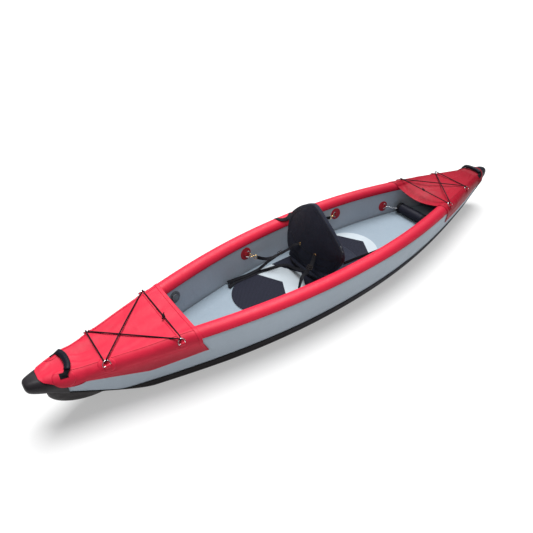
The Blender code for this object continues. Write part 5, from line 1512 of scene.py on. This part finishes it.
# ================================================================ foot rest
FOOT_X, FOOT_R, FOOT_HALF = 0.9700, 0.0390, 0.139
rows = []
n = 48
for k in range(61):
    t = -1 + 2 * k / 60
    y = FOOT_HALF * t
    e = max(0.0, abs(t) - 0.72) / 0.28
    r = FOOT_R * (1 - 0.55 * e * e)
    r *= 1 - 0.006 * exp(-((abs(t) - 0.70) / 0.012) ** 2)
    ring = []
    for j in range(n):
        a = 2 * pi * j / n
        w = 0.0009 * float(vnoise(y * 30 + 9, a * 3, 71)) * (0.3 + e)
        ring.append((FOOT_X + (r + w) * cos(a), y, FLOOR_TOP + 0.0005 + FOOT_R + (r + w) * sin(a)))
    rows.append(ring)
ob = grid("foot_roll", rows, M_FOOT, close_v=True, cap=True)
piece(ob, "hull", "black_tube_fabric", "footrest_tube")
for side, tag in ((1, "port"), (-1, "starboard")):
    apex, d, lay = RING_END["foot", side]
    end_p = Vector((FOOT_X - FOOT_R - 0.0045, side * 0.112, 0.176))
    a0 = apex - d * 0.0070
    run = (end_p - a0).normalized()
    length = (end_p - a0).length
    flat = run.cross(run.cross(lay)).normalized() * -1
    pts = [a0 + run * s + flat * w for s, w in ((0.0, 0.0040), (0.004, 0.0072), (0.012, 0.0080), (length - 0.012, 0.0080), (length - 0.004, 0.0072), (length, 0.0040))]
    pts += [a0 + run * run.dot(p - a0) - flat * flat.dot(p - a0) for p in pts[::-1]]
    piece(tube("foot_clip_" + tag, catmull(pts + [pts[0]], 70)[:-1], 0.0019, M_STEEL, closed=True, sides=8, start=lay), "hull", "steel_wire", "footrest_clip_" + tag)
    # webbing loop round the roll that takes the clip
    loop = []
    for k in range(49):
        a = 2 * pi * k / 48
        loop.append(Vector((FOOT_X + (FOOT_R + 0.0012) * cos(a), side * 0.112, FLOOR_TOP + 0.0005 + FOOT_R + (FOOT_R + 0.0012) * sin(a))))
    nn = [Vector((q.x - FOOT_X, 0, q.z - (FLOOR_TOP + 0.0005 + FOOT_R))).normalized() for q in loop[:-1]]
    piece(sweep("foot_loop_" + tag, loop[:-1], flat_section(0.024, 0.0014), M_WEB, nn, closed=True), "hull", "black_webbing")


# ================================================================ carry handles
def handle(end, x_foot, y_foot, z_foot, rise, pitch, top):
    d = Vector((cos(pitch), 0.0, sin(pitch)))
    foot = Vector((x_foot, 0.0, z_foot))
    pts = []
    for u, w in ((1.0, 0.0), (0.93, 0.28), (0.74, 0.66), (0.40, 0.93), (0.0, 1.0)):
        pts.append(foot + Vector((0, y_foot * u, 0)) + d * rise * w + UP * (top * min(1.0, w * 1.6)))
    pts += [Vector((q.x, -q.y, q.z)) for q in pts[-2::-1]]
    axis_n = d.cross(Vector((0, 1, 0))).normalized()
    if axis_n.z < 0:
        axis_n = -axis_n
    path = catmull(pts, 109)
    normals = []
    for i, q in enumerate(path):
        slope = (deck_height(q.x, abs(q.y) + 0.006) - deck_height(q.x, abs(q.y) - 0.006)) / 0.012
        lying = Vector((0.0, -slope if q.y > 0 else slope, 1.0)).normalized()
        k = min(i, 108 - i) / 6
        normals.append(axis_n.lerp(lying, max(0.0, 1 - k / 3)).normalized())
    # the two halves of the webbing bend between their sewn feet and the grip
    for side, tag, cut in ((1, "port", slice(0, 30)), (-1, "starboard", slice(79, 109))):
        web = sweep("handle_web_%s_%s" % (end, tag), path[cut], flat_section(0.025, 0.0018), M_WEB, normals[cut])
        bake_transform(web)
        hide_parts(end + "_handle_webbing")
    # the grip: an oval moulding with finger ridges
    sec = []
    for k in range(24):
        a = 2 * pi * k / 24
        thin = 1.0 if end == "stern" else 0.86
        sec.append((0.0165 * thin * cos(a), 0.0100 * thin * sin(a)))
    seg = path[18:91]
    scale = []
    for i in range(len(seg)):
        t = i / (len(seg) - 1)
        e = min(t, 1 - t)
        k = 1.0 + 0.045 * exp(-(e / 0.02) ** 2) - 0.55 * max(0.0, 1 - e / 0.012)
        ridge = 0.035 * max(0.0, sin(2 * pi * 9 * t)) ** 0.7 if 0.1 < t < 0.9 else 0.0
        scale.append((k + ridge * 0.4 - 0.02, k + ridge - 0.02))
    grip = sweep("handle_grip_" + end, seg, sec, M_GRIP, normals[18:91], scale=scale)
    piece(grip, end + "_handle", "black_grip", end + "_handle_grip")
    # sewn feet lying down the sides of the deck, over reinforcing patches
    for side, tag in ((1, "port"), (-1, "starboard")):
        g, r, leave, drop = deck_shape(x_foot)
        a0 = acos(max(-1.0, min(1.0, (y_foot - g.x) / r))) + LEAN
        surf = deck_surf(x_foot, a0, side)
        surface_disc("handle_patch_%s_%s" % (end, tag), lambda u, v, off: surf(u + 0.006, v - 0.004, off + 0.0012), 0.050 if end == "stern" else 0.034, M_RED_DECK if end == "stern" else M_RED_BOW)
        rows = []
        for i in range(15):
            u = -0.022 + 0.027 * i / 14
            w = 0.0165 + 0.002 * (i / 14)
            rows.append([surf(u, s * w / 0.0125 * 1.0, 0.0022 + h) for s, h in flat_section(0.025, 0.0018)])
        piece(grid("handle_foot_%s_%s" % (end, tag), rows, M_WEB, close_v=True, cap=True), "hull", "black_webbing")


handle("stern", -1.7087, 0.0850, 0.3201, 0.0389, radians(9.3), 0.0165)
handle("bow", 1.6788, 0.0894, 0.3062, 0.0300, radians(42.0), 0.0105)


# ================================================================ paddle strap
def gunwale_at(x, y, off):
    g, b, out, down = wall_frame(x)
    r = R + 0.0015 + off
    return Vector((x, y, g.y + sqrt(max(0.0, r * r - (y - g.x) ** 2))))


ob = strip_of("paddle_keeper", [gunwale_at(-0.0975, 0.3620, 0.0022), gunwale_at(-0.0985, 0.3410, 0.0036), gunwale_at(-0.0890, 0.3200, 0.0065),
                                gunwale_at(-0.0700, 0.3095, 0.0085), gunwale_at(-0.0440, 0.3060, 0.0090), gunwale_at(-0.0150, 0.3150, 0.0078),
                                gunwale_at(0.0080, 0.3320, 0.0040), gunwale_at(0.0271, 0.3520, 0.0022)], 90, 0.027, 0.0026, (0, 0.35, 1), (0, 0.35, 1), M_WEB, mid=(-0.1, -1.1, 0.3))
piece(ob, "hull", "black_webbing", "paddle_strap")


def strip_surf(x0, a0, side):
    def at(u, v, off):
        x = x0 + v
        g, b, out, down = wall_frame(x)
        r = chamber_r(x) + 0.0015
        return v3(x, round_point(g, r + off, a0 - u / r), side)
    return at


surface_disc("paddle_patch_rear", lambda u, v, off: strip_surf(-0.090, radians(60), 1)(u, v, off + 0.0012), 0.028, M_RED_HEM, slot="red_rub_strip")
surface_disc("paddle_patch_low", lambda u, v, off: strip_surf(-0.062, radians(140), 1)(u, v, off + 0.0012), 0.026, M_RED_HEM, slot="red_rub_strip")
surface_disc("paddle_patch_front", lambda u, v, off: strip_surf(0.027, radians(68), 1)(u, v, off + 0.0012), 0.030, M_RED_HEM, slot="red_rub_strip")


# ================================================================ air valves
def turned(name, profile, m, mat, steps=40, sharp=35):
    rows = []
    for r, z in profile:
        rows.append([m @ Vector((max(r, 0.00002) * cos(2 * pi * k / steps), max(r, 0.00002) * sin(2 * pi * k / steps), z)) for k in range(steps)])
    return grid(name, rows, mat, close_v=True, cap=True, sharp=sharp)


VALVE_X, VALVE_Z = -0.9980, 0.2480
VALVES = {}
for side, tag in ((1, "port"), (-1, "starboard")):
    VALVES[tag] = inner_wall(VALVE_X, VALVE_Z, side)
VALVES["floor"] = (Vector((-1.1800, 0.0, FLOOR_TOP)), UP)
for tag, (seat, axis) in VALVES.items():
    m = axis.to_track_quat("Z", "Y").to_matrix().to_4x4()
    m.translation = seat
    ob = turned("valve_seat_" + tag, [(0.0172, -0.0285), (0.0172, 0.0004), (0.0225, 0.0006), (0.0245, 0.0014), (0.0245, 0.0030), (0.0238, 0.0040),
                                      (0.0222, 0.0042), (0.0212, 0.0034), (0.0196, 0.0034), (0.0186, 0.0043), (0.0146, 0.0043), (0.0140, 0.0036),
                                      (0.0140, -0.0150), (0.0060, -0.0150), (0.0060, -0.0235)], m, M_VALVE_DARK)
    piece(ob, "hull", "grey_valve_plastic", "valve_body_" + tag)
    # the cap: a stepped dome with gripping ribs
    dome = turned("valve_dome_" + tag, [(0.0126, 0.0016), (0.0128, 0.0046), (0.0205, 0.0049), (0.0210, 0.0056), (0.0210, 0.0074), (0.0205, 0.0084),
                                        (0.0190, 0.0092), (0.0165, 0.0094), (0.0150, 0.0086), (0.0132, 0.0086), (0.0120, 0.0094), (0.0060, 0.0098)], m, M_VALVE)
    ribs = []
    for k in range(18):
        a = 2 * pi * k / 18
        c0, c1 = m @ Vector((0.0207 * cos(a), 0.0207 * sin(a), 0.0054)), m @ Vector((0.0207 * cos(a), 0.0207 * sin(a), 0.0078))
        ribs.append(tube("rib", [c0, c0.lerp(c1, 0.5), c1], 0.0009, M_VALVE, sides=6, start=axis.orthogonal()))
    ob = join("valve_lid_" + tag, [dome] + ribs)
    piece(ob, "valve_cap_" + tag, "grey_valve_plastic", "valve_cap_" + tag)
    pin = NODES["valve_pin_" + tag]
    pin.data.materials.clear()
    pin.data.materials.append(M_VALVE)
    # welded ring of panel fabric round the valve
    if tag != "floor":
        side = 1 if tag == "port" else -1
        surf = wall_surf(VALVE_X, VALVE_Z, side, 1.0, 0.0)
        rows = []
        for r, off in ((0.0252, 0.0004), (0.0254, 0.0016), (0.0275, 0.0022), (0.0350, 0.0018), (0.0375, 0.0012), (0.0380, 0.0004)):
            rows.append([surf(r * cos(2 * pi * k / 48), r * sin(2 * pi * k / 48), off) for k in range(48)])
        ob = grid("valve_weld_" + tag, rows, M_RAW, close_v=True, close_u=True, closed=True)
        piece(ob, "hull", "grey_panel")
        for k, (r, off) in enumerate(((0.0372, 0.0016), (0.0312, 0.0022))):
            path = [surf(r * cos(2 * pi * q / 48), r * sin(2 * pi * q / 48), off) for q in range(48)]
            piece(tube("valve_groove_%s_%d" % (tag, k), path, 0.0007, M_VALVE_DARK, closed=True, sides=6), "hull", "grey_panel")

# CAD nodes that stay visible get their material here
for name, o in NODES.items():
    if not o.hide_render and not o.data.materials[0].name.startswith("grey_valve"):
        o.data.materials.clear()
        o.data.materials.append(M_VALVE)

# ================================================================ stage, light and camera
stage_mat = Mat("stage_floor", 0.9)
stage_mat.color((0.43, 0.43, 0.43))
stage_mat.b.inputs["Emission Color"].default_value = (1.0, 1.0, 1.0, 1.0)
stage_mat.b.inputs["Emission Strength"].default_value = 0.41
me = bpy.data.meshes.new("stage_floor")
s = 30.0
me.from_pydata([(-s, -s, -0.0005), (s, -s, -0.0005), (s, s, -0.0005), (-s, s, -0.0005)], [], [(0, 1, 2, 3)])
floor_ob = bpy.data.objects.new("stage_floor", me)
me.materials.append(stage_mat.m)
bpy.context.scene.collection.objects.link(floor_ob)

world = bpy.data.worlds.new("studio")
bpy.context.scene.world = world
world.use_nodes = True
bg = world.node_tree.nodes["Background"]
bg.inputs["Color"].default_value = (0.96, 0.98, 1.0, 1.0)
bg.inputs["Strength"].default_value = 0.15


def area(name, loc, target, size, power, color=(1, 1, 1)):
    li = bpy.data.lights.new(name, "AREA")
    li.shape, li.size, li.size_y = "RECTANGLE", size[0], size[1]
    li.energy, li.color = power, color
    ob = bpy.data.objects.new(name, li)
    ob.location = loc
    ob.rotation_mode = "QUATERNION"
    ob.rotation_quaternion = (Vector(target) - Vector(loc)).to_track_quat("-Z", "Y")
    bpy.context.scene.collection.objects.link(ob)
    return ob


sun = bpy.data.lights.new("key", "SUN")
sun.energy, sun.angle = 5.00, radians(42)
sun_ob = bpy.data.objects.new("key", sun)
sun_ob.rotation_mode = "QUATERNION"
sun_ob.rotation_quaternion = Vector((-0.22, -0.28, -1.0)).to_track_quat("-Z", "Y")
bpy.context.scene.collection.objects.link(sun_ob)
area("sheen", (1.6, 2.2, 3.0), (-0.4, 0.0, 0.2), (2.8, 1.8), 50)
area("fill", (-0.5, -0.1, 1.5), (1.6, 0.0, 0.10), (0.7, 0.5), 8, (1.0, 0.94, 0.88))

cam_data = bpy.data.cameras.new("camera")
cam_data.lens, cam_data.sensor_width, cam_data.sensor_fit = 31.24, 36.0, "AUTO"
cam_data.clip_start, cam_data.clip_end = 0.05, 100.0
cam = bpy.data.objects.new("camera", cam_data)
bpy.context.scene.collection.objects.link(cam)
az, el, roll = radians(-37.73), radians(38.94), radians(0.738)
back = Vector((sin(az) * cos(el), -cos(az) * cos(el), sin(el)))
right = UP.cross(back).normalized()
upv = back.cross(right).normalized()
r2 = right * cos(roll) + upv * sin(roll)
u2 = upv * cos(roll) - right * sin(roll)
rot = Matrix((r2, u2, back)).transposed()
cam.rotation_mode = "QUATERNION"
cam.rotation_quaternion = rot.to_quaternion()
cam.location = (-1.7923, -1.7335, 2.0962)
bpy.context.scene.camera = cam

bpy.context.scene.view_settings.view_transform = "Standard"
bpy.context.scene.view_settings.look = "None"

bpy.context.view_layer.update()
